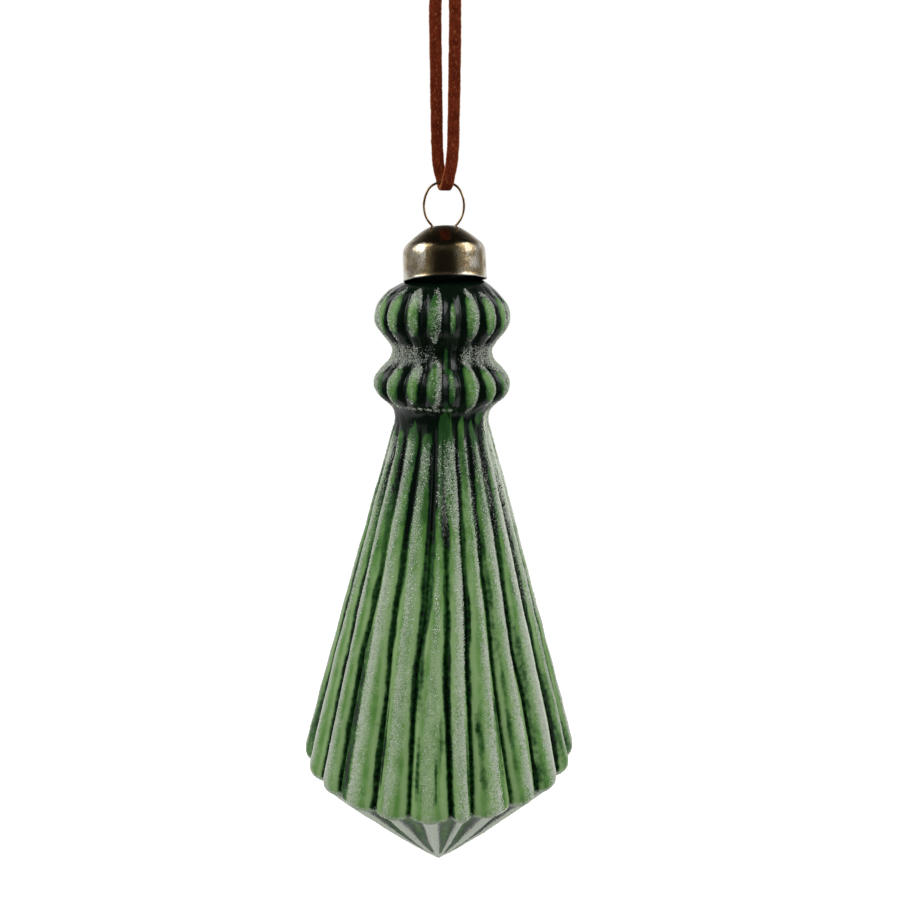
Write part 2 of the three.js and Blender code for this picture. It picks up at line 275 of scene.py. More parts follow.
class Board:
    """Adds the nodes of one tree and joins them."""

    def __init__(self, tree: bpy.types.NodeTree) -> None:
        """Starts on an empty tree."""
        self.tree = tree
        tree.nodes.clear()

    def add(self, kind: str, feeds: dict | None = None, **settings) -> bpy.types.Node:
        """Adds a node.

        Args:
            kind: Blender's name for the node's type.
            feeds: Sockets, by name or number, with the value or output that goes in.
            settings: Properties of the node.

        Returns:
            The new node.
        """
        node = self.tree.nodes.new(kind)
        for name, value in settings.items():
            setattr(node, name, value)
        for key, value in (feeds or {}).items():
            if isinstance(value, Socket):
                self.tree.links.new(value, node.inputs[key])
            else:
                node.inputs[key].default_value = value
        return node

    def sum(self, operation: str, *values: Socket | float, clamp: bool = False) -> Socket:
        """Output of a Math node for its operation and up to three values."""
        node = self.add("ShaderNodeMath", dict(enumerate(values)), operation=operation)
        node.use_clamp = clamp
        return node.outputs[0]

    def blend(self, share: Socket | float, first: Socket | Colour, second: Socket | Colour) -> Socket:
        """Colour between two colours."""
        first, second = (tone if isinstance(tone, Socket) else opaque(tone) for tone in (first, second))
        return self.add("ShaderNodeMix", {0: share, 6: first, 7: second}, data_type="RGBA").outputs[2]

    def step(self, value: Socket, low: float, high: float, bottom: float = 0.0, top: float = 1.0) -> Socket:
        """Smooth step of a value from bottom at low to top at high."""
        feeds = {0: value, 1: low, 2: high, 3: bottom, 4: top}
        return self.add("ShaderNodeMapRange", feeds, interpolation_type="SMOOTHSTEP").outputs[0]

    def field(self, name: str) -> Socket:
        """Number that the mesh carries under a name."""
        return self.add("ShaderNodeAttribute", attribute_name=name).outputs["Fac"]

    def cloud(self, place: Socket, size: float, detail: float = 2.0) -> Socket:
        """Noise whose features are about size millimetres across."""
        values = {"Vector": place, "Scale": 1.0 / (size * MM), "Detail": detail}
        return self.add("ShaderNodeTexNoise", values).outputs[0]

    def stirred(self, value: Socket, noise: Socket, swing: float) -> Socket:
        """Value moved down and up by noise around a half, over a swing in all."""
        return self.sum("MULTIPLY_ADD", noise, swing, self.sum("SUBTRACT", value, swing / 2))

    def stretched(self, place: Socket, *scale: float) -> Socket:
        """Place scaled along each axis."""
        return self.add("ShaderNodeMapping", {"Vector": place, "Scale": scale}).outputs[0]

    def carried(self, name: str) -> Socket:
        """Number that a geometry's points carry under a name."""
        return self.add("GeometryNodeInputNamedAttribute", {"Name": name}, data_type="FLOAT").outputs[0]

    def finish(self, geometry: Socket, finish: Socket, exit_node: bpy.types.Node) -> bpy.types.NodeTree:
        """Ends a Geometry Nodes tree.

        Args:
            geometry: What the tree has made.
            finish: Material that it gets.
            exit_node: The group's output node.

        Returns:
            The whole tree.
        """
        real = self.add("GeometryNodeRealizeInstances", {0: geometry})
        done = self.add("GeometryNodeSetMaterial", {"Geometry": real.outputs[0], "Material": finish})
        self.tree.links.new(done.outputs[0], exit_node.inputs[0])
        return self.tree


def open_group(
    name: str, kind: str, inputs: dict, outputs: dict
) -> tuple[Board, bpy.types.Node, bpy.types.Node]:
    """New node group with named sockets.

    Args:
        name: Name of the group.
        kind: Blender's name for the tree's type.
        inputs: Socket types of the inputs by name, with a default value or None.
        outputs: Socket types of the outputs by name.

    Returns:
        The group's board, its input node and its output node.
    """
    tree = bpy.data.node_groups.new(name, kind)
    for label, (socket_type, value) in inputs.items():
        socket = tree.interface.new_socket(name=label, in_out="INPUT", socket_type=socket_type)
        if value is not None:
            socket.default_value = value
    for label, socket_type in outputs.items():
        tree.interface.new_socket(name=label, in_out="OUTPUT", socket_type=socket_type)
    board = Board(tree)
    return board, board.add("NodeGroupInput"), board.add("NodeGroupOutput")


NUMBER = "NodeSocketFloat"
WHOLE = "NodeSocketInt"
VECTOR = "NodeSocketVector"
SHAPE = "NodeSocketGeometry"
FINISH = "NodeSocketMaterial"


@dataclass(frozen=True)
class ShaderEffects:
    """Node groups that several finishes share."""

    sugar: bpy.types.NodeTree
    mottle: bpy.types.NodeTree

    @classmethod
    def build(cls) -> "ShaderEffects":
        """Builds both groups once."""
        return cls(cls.build_sugar(), cls.build_mottle())

    @staticmethod
    def build_sugar() -> bpy.types.NodeTree:
        """Group of small crystals: a tone and a height for each, and a height between them."""
        board, entry, exit_node = open_group(
            "sugar grains",
            "ShaderNodeTree",
            {"Place": (VECTOR, None), "Grain Scale": (NUMBER, 3000.0)},
            {"Tone": NUMBER, "Height": NUMBER},
        )
        cells = board.add(
            "ShaderNodeTexVoronoi",
            {"Vector": entry.outputs["Place"], "Scale": entry.outputs["Grain Scale"], "Randomness": 1.0},
        )
        tone = board.add("ShaderNodeSeparateColor", {0: cells.outputs["Color"]})
        dome = board.step(cells.outputs["Distance"], 0.1, 0.75, 1.0, 0.0)
        height = board.sum("MULTIPLY", dome, board.sum("MULTIPLY_ADD", tone.outputs[1], 0.8, 0.2))
        board.tree.links.new(tone.outputs[0], exit_node.inputs["Tone"])
        board.tree.links.new(height, exit_node.inputs["Height"])
        return board.tree

    @staticmethod
    def build_mottle() -> bpy.types.NodeTree:
        """Group of blotches in two sizes, as a mask that is about half and half."""
        board, entry, exit_node = open_group(
            "mottle",
            "ShaderNodeTree",
            {"Place": (VECTOR, None), "Blotch Scale": (NUMBER, 400.0), "Contrast": (NUMBER, 1.6)},
            {"Mask": NUMBER, "Fine": NUMBER},
        )
        place, scale = entry.outputs["Place"], entry.outputs["Blotch Scale"]
        broad = board.add("ShaderNodeTexNoise", {"Vector": place, "Scale": scale, "Detail": 4.0})
        fine_scale = board.sum("MULTIPLY", scale, 5.5)
        fine = board.add("ShaderNodeTexNoise", {"Vector": place, "Scale": fine_scale, "Detail": 2.0})
        both = board.sum("MULTIPLY_ADD", fine.outputs[0], 0.35, broad.outputs[0])
        spread = board.sum("MULTIPLY", board.sum("SUBTRACT", both, 0.68), entry.outputs["Contrast"])
        mask = board.sum("ADD", spread, 0.5, clamp=True)
        board.tree.links.new(mask, exit_node.inputs["Mask"])
        board.tree.links.new(fine.outputs[0], exit_node.inputs["Fine"])
        return board.tree


class MaterialBoard(Board):
    """Board for one material, with its shader and output in place."""

    def __init__(self, name: str, **shader_values) -> None:
        """Makes the material and its shader.

        Args:
            name: Name of the material.
            shader_values: Constants of the shader's sockets, with spaces as underscores.
        """
        self.material = bpy.data.materials.new(name)
        self.material.use_nodes = True
        super().__init__(self.material.node_tree)
        self.shader = self.add("ShaderNodeBsdfPrincipled")
        for label, value in shader_values.items():
            self.shader.inputs[label.replace("_", " ")].default_value = value
        self.add("ShaderNodeOutputMaterial", {"Surface": self.shader.outputs[0]})
        self.place = self.add("ShaderNodeTexCoord").outputs["Object"]

    def wire(self, **sockets: Socket) -> None:
        """Joins outputs to the shader's sockets, named with spaces as underscores."""
        for label, output in sockets.items():
            self.tree.links.new(output, self.shader.inputs[label.replace("_", " ")])

    def relief(self, height: Socket, depth: float, normal: Socket | None = None) -> Socket:
        """Normal of a relief that is depth millimetres high."""
        feeds = {"Height": height, "Distance": depth * MM, "Strength": 1.0}
        if normal is not None:
            feeds["Normal"] = normal
        return self.add("ShaderNodeBump", feeds).outputs[0]

    def effect(self, tree: bpy.types.NodeTree, **feeds: Socket | float) -> bpy.types.Node:
        """Places a shared group in this material.

        Args:
            tree: The group.
            feeds: Its inputs, named with spaces as underscores.

        Returns:
            The group's node.
        """
        node = self.add("ShaderNodeGroup", node_tree=tree)
        for label, value in feeds.items():
            target = node.inputs[label.replace("_", " ")]
            if isinstance(value, Socket):
                self.tree.links.new(value, target)
            else:
                target.default_value = value
        return node


@dataclass(frozen=True)
class FrostedGlaze:
    """Green glass with dark glaze in its hollows and sugar frost on its crests."""

    pale_green: Colour = (0.225, 0.365, 0.14)
    middle_green: Colour = (0.08, 0.22, 0.032)
    deep_green: Colour = (0.006, 0.07, 0.004)
    glaze: Colour = (0.0015, 0.007, 0.003)
    frost_tint: Colour = (0.45, 0.49, 0.41)
    frost_grain_glint: Colour = (0.78, 0.80, 0.74)
    frost_shadow: Colour = (0.02, 0.05, 0.015)
    thick_frost_and_painted_light: Colour = (0.74, 0.80, 0.67)
    grain_size: float = 0.26
    grain_height: float = 0.07
    gloss_roughness: float = 0.21
    green_roughness: float = 0.48
    frost_roughness: float = 0.75
    wobble_size: float = 1.3
    streak_size: float = 2.2
    streak_height: float = 0.25
    blotch_scale: float = 330.0

    def build(self, effects: ShaderEffects) -> bpy.types.Material:
        """Builds the material from the fields that the glass carries.

        Args:
            effects: The shared node groups.

        Returns:
            The material.
        """
        board = MaterialBoard("frosted glaze", IOR=1.5, Specular_IOR_Level=0.36)
        place = board.place
        grains = board.effect(effects.sugar, Place=place, Grain_Scale=1.0 / (self.grain_size * MM))
        coarse = board.effect(effects.mottle, Place=place, Blotch_Scale=self.blotch_scale, Contrast=1.2)
        tone, height, fine = grains.outputs["Tone"], grains.outputs["Height"], coarse.outputs["Fine"]
        wobble = board.cloud(place, self.wobble_size, 1.0)
        streak = board.cloud(board.stretched(place, 1.0, 1.0, 0.4), self.streak_size)
        # The hoar field holds frost whiteness with painted light in it: whiter towards the outlines and on
        # the underside.
        hoar_and_painted_light = board.field("hoar_and_painted_light")

        bright = board.stirred(board.field("bright"), streak, 0.8)
        green = board.blend(board.step(bright, 0.0, 0.5), self.deep_green, self.middle_green)
        green = board.blend(board.step(bright, 0.3, 1.0), green, self.pale_green)
        deeper = board.step(coarse.outputs["Mask"], 0.0, 0.42, 0.6, 0.0)
        green = board.blend(deeper, green, self.deep_green)

        ragged = board.stirred(board.field("glaze"), wobble, 0.36)
        tinted = board.blend(board.step(ragged, 0.1, 0.52), green, self.deep_green)
        glazed = board.step(ragged, 0.4, 0.62)
        coated = board.blend(glazed, tinted, self.glaze)

        scatter = board.stirred(board.stirred(board.field("frost"), tone, 0.6), fine, 0.5)
        frosted = board.step(scatter, 0.42, 0.58)
        cover = board.sum("MULTIPLY_ADD", hoar_and_painted_light, 0.84, 0.02)
        ground = board.blend(cover, coated, self.frost_tint)
        # Painted shadow: dark specks of frost_shadow in some grain cells.
        shadowed_cells = board.step(tone, 0.0, 0.3, 0.6, 0.0)
        pits = board.sum("MULTIPLY", shadowed_cells, board.step(hoar_and_painted_light, 0.4, 1.2, 1.0, 0.8))
        ground = board.blend(pits, ground, self.frost_shadow)
        # Painted glint: the grains' tops are lightened, more where the hoar field is high.
        facets = board.step(height, 0.3, 0.85)
        sparkle = board.sum("MULTIPLY", facets, board.sum("MULTIPLY_ADD", hoar_and_painted_light, 0.55, 0.28))
        crust = board.blend(sparkle, ground, self.frost_grain_glint)
        # Painted light: the whitest frost where the hoar field is highest.
        crust = board.blend(board.step(hoar_and_painted_light, 1.1, 1.6, 0.0, 0.75), crust, self.thick_frost_and_painted_light)
        colour = board.blend(frosted, coated, crust)

        gloss_gap = self.gloss_roughness - self.green_roughness
        rough = board.sum("MULTIPLY_ADD", glazed, gloss_gap, self.green_roughness)
        rough_gap = board.sum("SUBTRACT", self.frost_roughness, rough)
        roughness = board.sum("MULTIPLY_ADD", frosted, rough_gap, rough)
        smooth_relief = board.relief(streak, self.streak_height)
        rough_height = board.sum("MULTIPLY", height, frosted)
        normal = board.relief(rough_height, self.grain_height, smooth_relief)
        board.wire(Base_Color=colour, Roughness=roughness, Normal=normal)
        return board.material


@dataclass(frozen=True)
class FrostCrystal:
    """Loose sugar crystals, whitish and a little shiny."""

    pale: Colour = (0.74, 0.78, 0.70)
    tinted: Colour = (0.30, 0.42, 0.24)

    def build(self) -> bpy.types.Material:
        """Builds the material with a tone of its own for each place."""
        board = MaterialBoard("frost crystal", IOR=1.45)
        tone = board.cloud(board.place, 0.5, 1.0)
        colour = board.blend(board.step(tone, 0.35, 0.6), self.tinted, self.pale)
        board.wire(Base_Color=colour, Roughness=board.step(tone, 0.3, 0.7, 0.55, 0.25))
        return board.material


@dataclass(frozen=True)
class AgedBrass:
    """Brass that has darkened unevenly, stays bright along its edges, and turns paler where its field holds
    painted sheen.
    """

    name: str
    bright: Colour
    aged: Colour
    dark: Colour
    blotch_size: float
    rough_low: float = 0.2
    rough_high: float = 0.36
    scratch_size: float = 0.22
    pit_depth: float = 0.018
    blotch_depth: float = 0.02

    def build(self, effects: ShaderEffects) -> bpy.types.Material:
        """Builds the material from blotches and the piece's own field of wear and painted sheen.

        Args:
            effects: The shared node groups.

        Returns:
            The material.
        """
        board = MaterialBoard(self.name, Metallic=1.0)
        place = board.stretched(board.place, 1.0, 1.0, 0.8)
        blotch_scale = 1.0 / (self.blotch_size * MM)
        blotch = board.effect(effects.mottle, Place=place, Blotch_Scale=blotch_scale, Contrast=2.2)
        base = board.blend(blotch.outputs["Mask"], self.dark, self.aged)
        # shine: bare brass where worn, and painted sheen where the piece's field carries it.
        shine = board.step(board.stirred(board.field("wear"), blotch.outputs["Fine"], 0.9), 0.3, 0.85)
        colour = board.blend(shine, base, self.bright)
        roughness = board.step(blotch.outputs["Mask"], 0.0, 1.0, self.rough_high, self.rough_low)
        pits = board.relief(board.cloud(place, self.scratch_size, 3.0), self.pit_depth)
        normal = board.relief(blotch.outputs["Mask"], self.blotch_depth, pits)
        board.wire(Base_Color=colour, Roughness=roughness, Normal=normal)
        return board.material


@dataclass(frozen=True)
class Suede:
    """Red-brown suede whose nap is darker on the face and lighter along the cut edges."""

    dark: Colour = (0.080, 0.0095, 0.0035)
    main: Colour = (0.175, 0.028, 0.009)
    light: Colour = (0.36, 0.12, 0.042)
    sheen_tint: Colour = (0.6, 0.22, 0.1)
    blotch_scale: float = 520.0
    hair_size: float = 0.9
    hair_depth: float = 0.16
    fuzz_size: float = 0.16
    fuzz_depth: float = 0.1

    def build(self, effects: ShaderEffects) -> bpy.types.Material:
        """Builds the material from the lace's own length, width and edge fields.

        Args:
            effects: The shared node groups.

        Returns:
            The material.
        """
        board = MaterialBoard(
            "brown suede", Roughness=0.95, Specular_IOR_Level=0.04,
            Sheen_Weight=0.06, Sheen_Roughness=0.5, Sheen_Tint=opaque(self.sheen_tint),
        )
        place = board.place
        blotch = board.effect(effects.mottle, Place=place, Blotch_Scale=self.blotch_scale, Contrast=2.4)
        along = board.add("ShaderNodeTexCoord").outputs["UV"]
        hair = board.cloud(board.stretched(along, 0.045, 1.0, 1.0), self.hair_size, 4.0)
        fuzz = board.cloud(place, self.fuzz_size, 3.0)
        face = board.blend(blotch.outputs["Mask"], self.dark, self.main)
        face = board.blend(board.step(hair, 0.3, 0.5, 0.75, 0.0), face, self.dark)
        edge = board.stirred(board.field("edge"), fuzz, 0.9)
        colour = board.blend(board.step(edge, 0.3, 1.1), face, self.light)
        colour = board.blend(board.step(hair, 0.55, 0.7, 0.0, 0.6), colour, self.light)
        nap = board.relief(fuzz, self.fuzz_depth)
        board.wire(Base_Color=colour, Normal=board.relief(hair, self.hair_depth, nap))
        return board.material


@dataclass
class SuedeLace:
    """Flat suede lace, folded through the wire's ring, its two ends rising into the knot."""

    width: float = 3.0
    thickness: float = 1.5
    spacing: float = 0.25
    section_points: int = 36
    squareness: float = 4.0
    nap: float = 0.07
    nap_size: float = 0.32
    ripple_size: float = 1.6
    edge_start: float = 0.36
    route: tuple[Point, ...] = (
        (-1.65, 0.2, 0.8), (-1.68, 0.21, -0.2), (-2.05, 0.3, -2.2), (-2.3, 0.4, -5.5), (-2.27, 0.5, -11.5),
        (-2.1, 0.65, -20), (-1.93, 0.85, -27.7), (-1.75, 1.1, -34.5), (-1.58, 1.4, -40),
        (-1.2, 1.62, -43.3), (-0.72, 1.7, -45.3), (-0.3, 1.62, -46.9), (0.02, 1.15, -47.95),
        (0.4, 0, -48.38), (0.8, -1.22, -47.9), (1.12, -1.75, -46.9), (1.5, -1.85, -45.3),
        (1.9, -1.72, -43.3), (2.25, -1.4, -40), (2.38, -1.1, -34.5), (2.44, -0.85, -27.7), (2.5, -0.65, -20),
        (2.51, -0.5, -11.5), (2.4, -0.4, -5.5), (2.1, -0.3, -2.2), (1.68, -0.21, -0.2), (1.65, -0.2, 0.8),
    )

    def section(self) -> tuple[Array, Array]:
        """Outline across the lace as places across and through it."""
        turn = (np.arange(self.section_points) + 0.5) / self.section_points * 2 * math.pi
        power = 2.0 / self.squareness
        across = np.sign(np.cos(turn)) * np.abs(np.cos(turn)) ** power * self.width / 2
        through_it = np.sign(np.sin(turn)) * np.abs(np.sin(turn)) ** power * self.thickness / 2
        return across, through_it

    def ribbon(self, name: str, line: Array, across: Array, seed: int) -> bpy.types.Object:
        """Sweeps the section along a line and roughens it with nap.

        Args:
            name: Name of the piece.
            line: Centreline, one point a row.
            across: Direction of the lace's width at each point.
            seed: Number that picks the nap's pattern.

        Returns:
            The swept piece with its edge field and UV map.
        """
        wide, thick = self.section()
        ahead = directions(line)
        across = across - ahead * np.sum(across * ahead, axis=1)[:, None]
        across /= np.linalg.norm(across, axis=1)[:, None]
        facing = np.cross(ahead, across)
        count, around = len(line), self.section_points
        sideways = across[:, None] * wide[None, :, None]
        points = line[:, None] + sideways + facing[:, None] * thick[None, :, None]
        outward = points - line[:, None]
        outward /= np.linalg.norm(outward, axis=2)[:, :, None]
        flat = points.reshape(-1, 3)
        rough = unevenness(flat, self.nap_size, seed) * 0.7
        rough = rough + unevenness(flat, self.ripple_size, seed + 1) * 0.6
        edge = ramp(np.abs(np.tile(wide, count)), self.width * self.edge_start, self.width / 2)
        flat = flat + outward.reshape(-1, 3) * (rough * self.nap * (1.0 + 0.6 * edge))[:, None]
        piece = new_piece(name, flat, rod_faces(count, around))
        record(piece, edge=edge)
        layer = piece.data.uv_layers.new(name="along_and_round")
        numbers = np.zeros(len(piece.data.loops), dtype=np.int32)
        piece.data.loops.foreach_get("vertex_index", numbers)
        uv = np.stack([numbers % around / around, numbers // around * self.spacing * MM], axis=1)
        layer.data.foreach_set("uv", uv.astype(np.float32).ravel())
        return piece

    def build(self, suede: bpy.types.Material, knot: list[bpy.types.Object]) -> bpy.types.Object:
        """Args:
            suede: The lace's material.
            knot: Pieces of the knot that its two ends go into; not used.

        Returns:
            The lace's piece.
        """
        line = through(np.array(self.route, dtype=float), self.spacing)
        piece = self.ribbon("suede_lace", line, np.tile(TO_RIGHT, (len(line), 1)), Seed.LACE_NAP)
        dress(piece, suede, "suede", "lace", "lace_loop")
        length = np.linalg.norm(np.diff(line, axis=0), axis=1).sum()
        return piece


@dataclass
class LaceKnot:
    """Overhand knot tied in both ends of the lace together, with two short cut tails."""

    core: tuple[Point, ...] = (
        (0, 0, 0.8), (0.5, -0.7, 2.0), (1.3, -1.6, 3.3), (-1.3, 1.0, 4.9), (-2.7, 0.9, 6.5),
        (-1.3, 0.3, 7.3), (1.3, -0.6, 6.5), (2.7, 0.0, 4.9), (1.3, 0.6, 3.3), (-1.3, -0.3, 2.5),
        (-2.7, -0.9, 3.2), (-1.3, -1.0, 4.9), (1.3, 1.6, 6.5), (0.6, 0.7, 8.0), (0.0, 0.0, 9.4),
    )
    tails: dict[Side, tuple[Point, ...]] = field(default_factory=lambda: {
        Side.LEFT: ((-1.1, 0.5, 11.4), (-2.1, 0.9, 14.0), (-2.6, 0.7, 16.6)),
        Side.RIGHT: ((1.2, -0.4, 11.2), (2.0, -0.7, 13.4), (2.9, -0.4, 15.6)),
    })
    spread: float = 1.65
    stacking: float = 0.72
    entry_stacking: float = 0.2
    entry_length: float = 2.4
    knot_step: int = 5

    @staticmethod
    def carried(line: Array, first: Array) -> Array:
        """Direction carried along a line without twist.

        Args:
            line: Points along the line.
            first: The direction at its start.

        Returns:
            One direction for each point.
        """
        ahead = directions(line)
        across = [first]
        for step in ahead[1:]:
            turned = across[-1] - step * (across[-1] @ step)
            across.append(turned / np.linalg.norm(turned))
        return np.array(across)

    def strand(self, side: Side, spacing: float) -> Array:
        """Centreline of one of the two lace ends through the knot and out along its tail.

        Args:
            side: Which of the two ends.
            spacing: Distance between the points returned.

        Returns:
            Points along the lace end.
        """
        line = through(np.array(self.core, dtype=float), spacing)
        across = self.carried(line, TO_RIGHT)
        facing = np.cross(directions(line), across)
        entering = 1.0 - ramp(np.arange(len(line)) * spacing, 0.0, self.entry_length)
        apart = across * (side.value * self.spread * entering)[:, None]
        stacked = self.stacking * (1 - entering) + self.entry_stacking * entering
        apart -= facing * (side.value * stacked)[:, None]
        return through(np.vstack([(line + apart)[:: self.knot_step], self.tails[side]]), spacing)

    def build(self, lace: SuedeLace, suede: bpy.types.Material) -> list[bpy.types.Object]:
        """Ties both lace ends.

        Args:
            lace: The lace whose ends are tied.
            suede: Its material.

        Returns:
            The piece of each lace end.
        """
        pieces = []
        for side in (Side.LEFT, Side.RIGHT):
            line = self.strand(side, lace.spacing)
            across = self.carried(line, TO_RIGHT)
            seed = Seed.KNOT_NAP + int(side.value)
            piece = lace.ribbon(f"knot_strand_{side.name.lower()}", line, across, seed)
            dress(piece, suede, "suede", "lace", "lace_knot")
            pieces.append(piece)
        return pieces


@dataclass
class HangerWire:
    """Thin brass wire: a ring above the cap and two legs sprung apart inside the neck."""

    diameter: float = 0.6
    ring_top: float = -47.03
    ring_shift: float = 0.15
    ring: tuple[tuple[float, float], ...] = (
        (2.3, 0.5), (3.6, 1.4), (4.5, 2.95), (4.95, 4.5), (5.07, 5.8), (4.93, 7.1), (4.56, 8.4),
        (3.95, 9.5), (3.2, 10.4),
    )
    leg: tuple[tuple[float, float], ...] = (
        (2.6, -58.1), (2.5, -59.0), (3.52, -61.2), (4.95, -63.83), (5.9, -67.23), (5.9, -70.2),
        (5.9, -83.6),
    )
    sides: int = 16
    spacing: float = 0.3
    bend: float = 0.02

    def centreline(self) -> Array:
        """Points along the wire from one leg's foot over the ring to the other's."""
        top = (self.ring_shift, 0.0, self.ring_top)
        sides = {}
        for side in (-1, 1):
            ring = [(side * x + self.ring_shift, 0.0, self.ring_top - drop) for x, drop in self.ring]
            sides[side] = ring + [(side * x, 0.0, z) for x, z in self.leg]
        return through(np.array([*reversed(sides[-1]), top, *sides[1]], dtype=float), self.spacing)

    def build(self, brass: bpy.types.Material) -> bpy.types.Object:
        """Builds the wire.

        Args:
            brass: The wire's material.

        Returns:
            The wire's piece.
        """
        line = self.centreline()
        ahead = directions(line)
        side = np.tile([0.0, 1.0, 0.0], (len(line), 1))
        inward = np.cross(ahead, side)
        turn = np.arange(self.sides) / self.sides * 2 * math.pi
        worn = unevenness(line, 2.5, Seed.WIRE_BENDS) * self.bend
        radius = (self.diameter / 2 + worn)[:, None, None]
        across, along = np.cos(turn)[None, :, None], np.sin(turn)[None, :, None]
        round_it = side[:, None] * across + inward[:, None] * along
        points = (line[:, None] + round_it * radius).reshape(-1, 3)
        piece = new_piece("wire_hanger", points, rod_faces(len(line), self.sides))
        record(piece, wear=0.45 + 0.3 * unevenness(points, 1.8, Seed.WIRE_WEAR))
        dress(piece, brass, "wire", "hanger", "hanger_wire")
        return piece


@dataclass
class PressedCap:
    """Domed sheet brass cap with a hole in its top, a soft shoulder and a rolled rim."""

    top: float = -57.9
    height: float = 13.4
    outside: tuple[tuple[float, float], ...] = (
        (3.08, -0.03), (3.5, -0.08), (4.6, -0.58), (5.84, -1.34), (6.93, -2.12), (7.9, -2.88),
        (8.8, -3.66), (9.42, -4.2), (9.86, -4.7), (10.22, -5.3), (10.44, -6.05), (10.54, -7.0),
        (10.57, -8.4), (10.59, -11.0), (10.6, -12.6), (10.66, -12.95), (10.74, -13.12), (10.74, -13.3),
        (10.6, -13.4),
    )
    inside: tuple[tuple[float, float], ...] = (
        (10.2, -13.35), (10.12, -12.4), (10.05, -9.2), (9.65, -6.3), (8.7, -4.5), (7.6, -3.35),
        (5.8, -2.05), (4.2, -1.1), (3.05, -0.5), (3.0, -0.2),
    )
    tilt_back: float = -5.6
    tilt_side: float = -2.7
    front_arch: float = 0.45
    around: int = 168
    spacing: float = 0.28
    inside_spacing: float = 0.7
    dent: float = 0.05
    ragged_edge: float = 0.1

    def worn(self, height: Array, turn: Array, points: Array) -> Array:
        """How bare the brass is rubbed, most along the rim, with a painted sheen that makes the sides paler
        than the front.

        Args:
            height: Height of each ring of points.
            turn: Angle of each point of a ring.
            points: Every point, ring after ring.

        Returns:
            The wear and painted sheen of each point, about 0 to 1.
        """
        rim = bump(height, -self.height + 0.2, 0.35) * 0.8 + bump(height, 0.0, 0.3) * 0.2
        rim = rim - 0.15 * ramp(height, -4.5, -3.0)
        # Painted sheen: the sides below the shoulder are made paler, standing for the bright surround that
        # they reflect.
        sides = ramp(np.abs(np.sin(turn + 0.06)), 0.2, 0.45)[None] * ramp(-height, 3.6, 5.0)[:, None] * 0.6
        wear = np.repeat(rim, self.around) + sides.ravel()
        return wear + unevenness(points, 2.4, Seed.CAP_WEAR) * 0.35 - 0.05

    def build(self, brass: bpy.types.Material) -> bpy.types.Object:
        """Builds the cap, dents it lightly and sets it crooked on the neck.

        Args:
            brass: The cap's material.

        Returns:
            The cap's piece.
        """
        outside = turned_line(self.outside, self.spacing)
        outline = np.vstack([outside, turned_line(self.inside, self.inside_spacing)])
        turn = np.arange(self.around) / self.around * 2 * math.pi
        radius, height = outline.T
        arch = ramp(np.cos(turn), 0.3, 1.0)[None] * ramp(-height, self.height - 4.0, self.height)[:, None]
        points = turned_points(radius[:, None], turn[None], height[:, None] + arch * self.front_arch)
        dents = unevenness(points, 5.0, Seed.CAP_DENTS) * 0.7
        dents = dents + unevenness(points, 2.2, Seed.CAP_SMALL_DENTS) * 0.3
        outward = points * [1.0, 1.0, 0.0]
        outward /= np.linalg.norm(outward, axis=1)[:, None]
        fading = ramp(-points[:, 2], 0.5, 3.0)
        points = points + outward * (dents * fading * self.dent)[:, None]
        near_edge = ramp(-points[:, 2], self.height - 1.2, self.height)
        points[:, 2] += unevenness(points, 1.7, Seed.CAP_EDGE) * near_edge * self.ragged_edge
        last = len(points) - self.around
        faces = [tuple(reversed(face)) for face in ring_faces(len(outline), self.around)]
        faces += [(last + j, j, i, last + i) for i, j in neighbours(self.around)]
        # Rim wear, with painted sheen on the sides.
        wear = self.worn(height, turn, points)
        inside = np.repeat(np.arange(len(outline)) >= len(outside), self.around)
        back = Matrix.Rotation(math.radians(self.tilt_back), 3, "X")
        lean = back @ Matrix.Rotation(math.radians(self.tilt_side), 3, "Y")
        points = points @ np.array(lean).T + [0.0, 0.0, self.top]
        piece = new_piece("brass_cap", points, faces)
        record(piece, wear=np.where(inside, 0.0, wear))
        dress(piece, brass, "cap", "cap", "cap")
        return piece


@dataclass
class Surface:
    """Values at the glass's outer points, one row of them for each ring of points.

    Azimuths and widths are in degrees, radii, heights and depths in millimetres. What is along
    the cone or the underside goes from 0 above it to 1 at its foot.
    """

    laid: Array
    turned: Array
    radius: Array
    height: Array
    along_cone: Array
    along_underside: Array
    rib_share: Array
    lobe_share: Array
    lobe_number: Array
    rib_width: Array
    half_before: Array
    half_after: Array
    frost_first: Array
    frost_last: Array
    white: Array
    azimuth: Array = field(init=False)
    off_middle: Array = field(init=False)
    per_degree: Array = field(init=False)
    depth: Array = field(init=False)
    slow: Array = field(init=False)
    quick: Array = field(init=False)

    def __post_init__(self) -> None:
        """Adds azimuths from -180 to 180, sizes of a degree, depths, and two noises from -1 to 1."""
        self.azimuth = (self.laid + 180.0) % 360.0 - 180.0
        self.off_middle = np.abs(self.azimuth)
        self.per_degree = math.pi / 180.0 * self.radius
        self.depth = -self.height
        angle = np.radians(self.azimuth)
        spot = np.stack([np.sin(angle) * 60, np.cos(angle) * 60, self.height * 0.35], axis=2).reshape(-1, 3)
        self.slow = unevenness(spot, 9.0, Seed.GLASS_SLOW).reshape(self.height.shape)
        self.quick = unevenness(spot * [1, 1, 2.0], 3.0, Seed.GLASS_QUICK).reshape(self.height.shape)


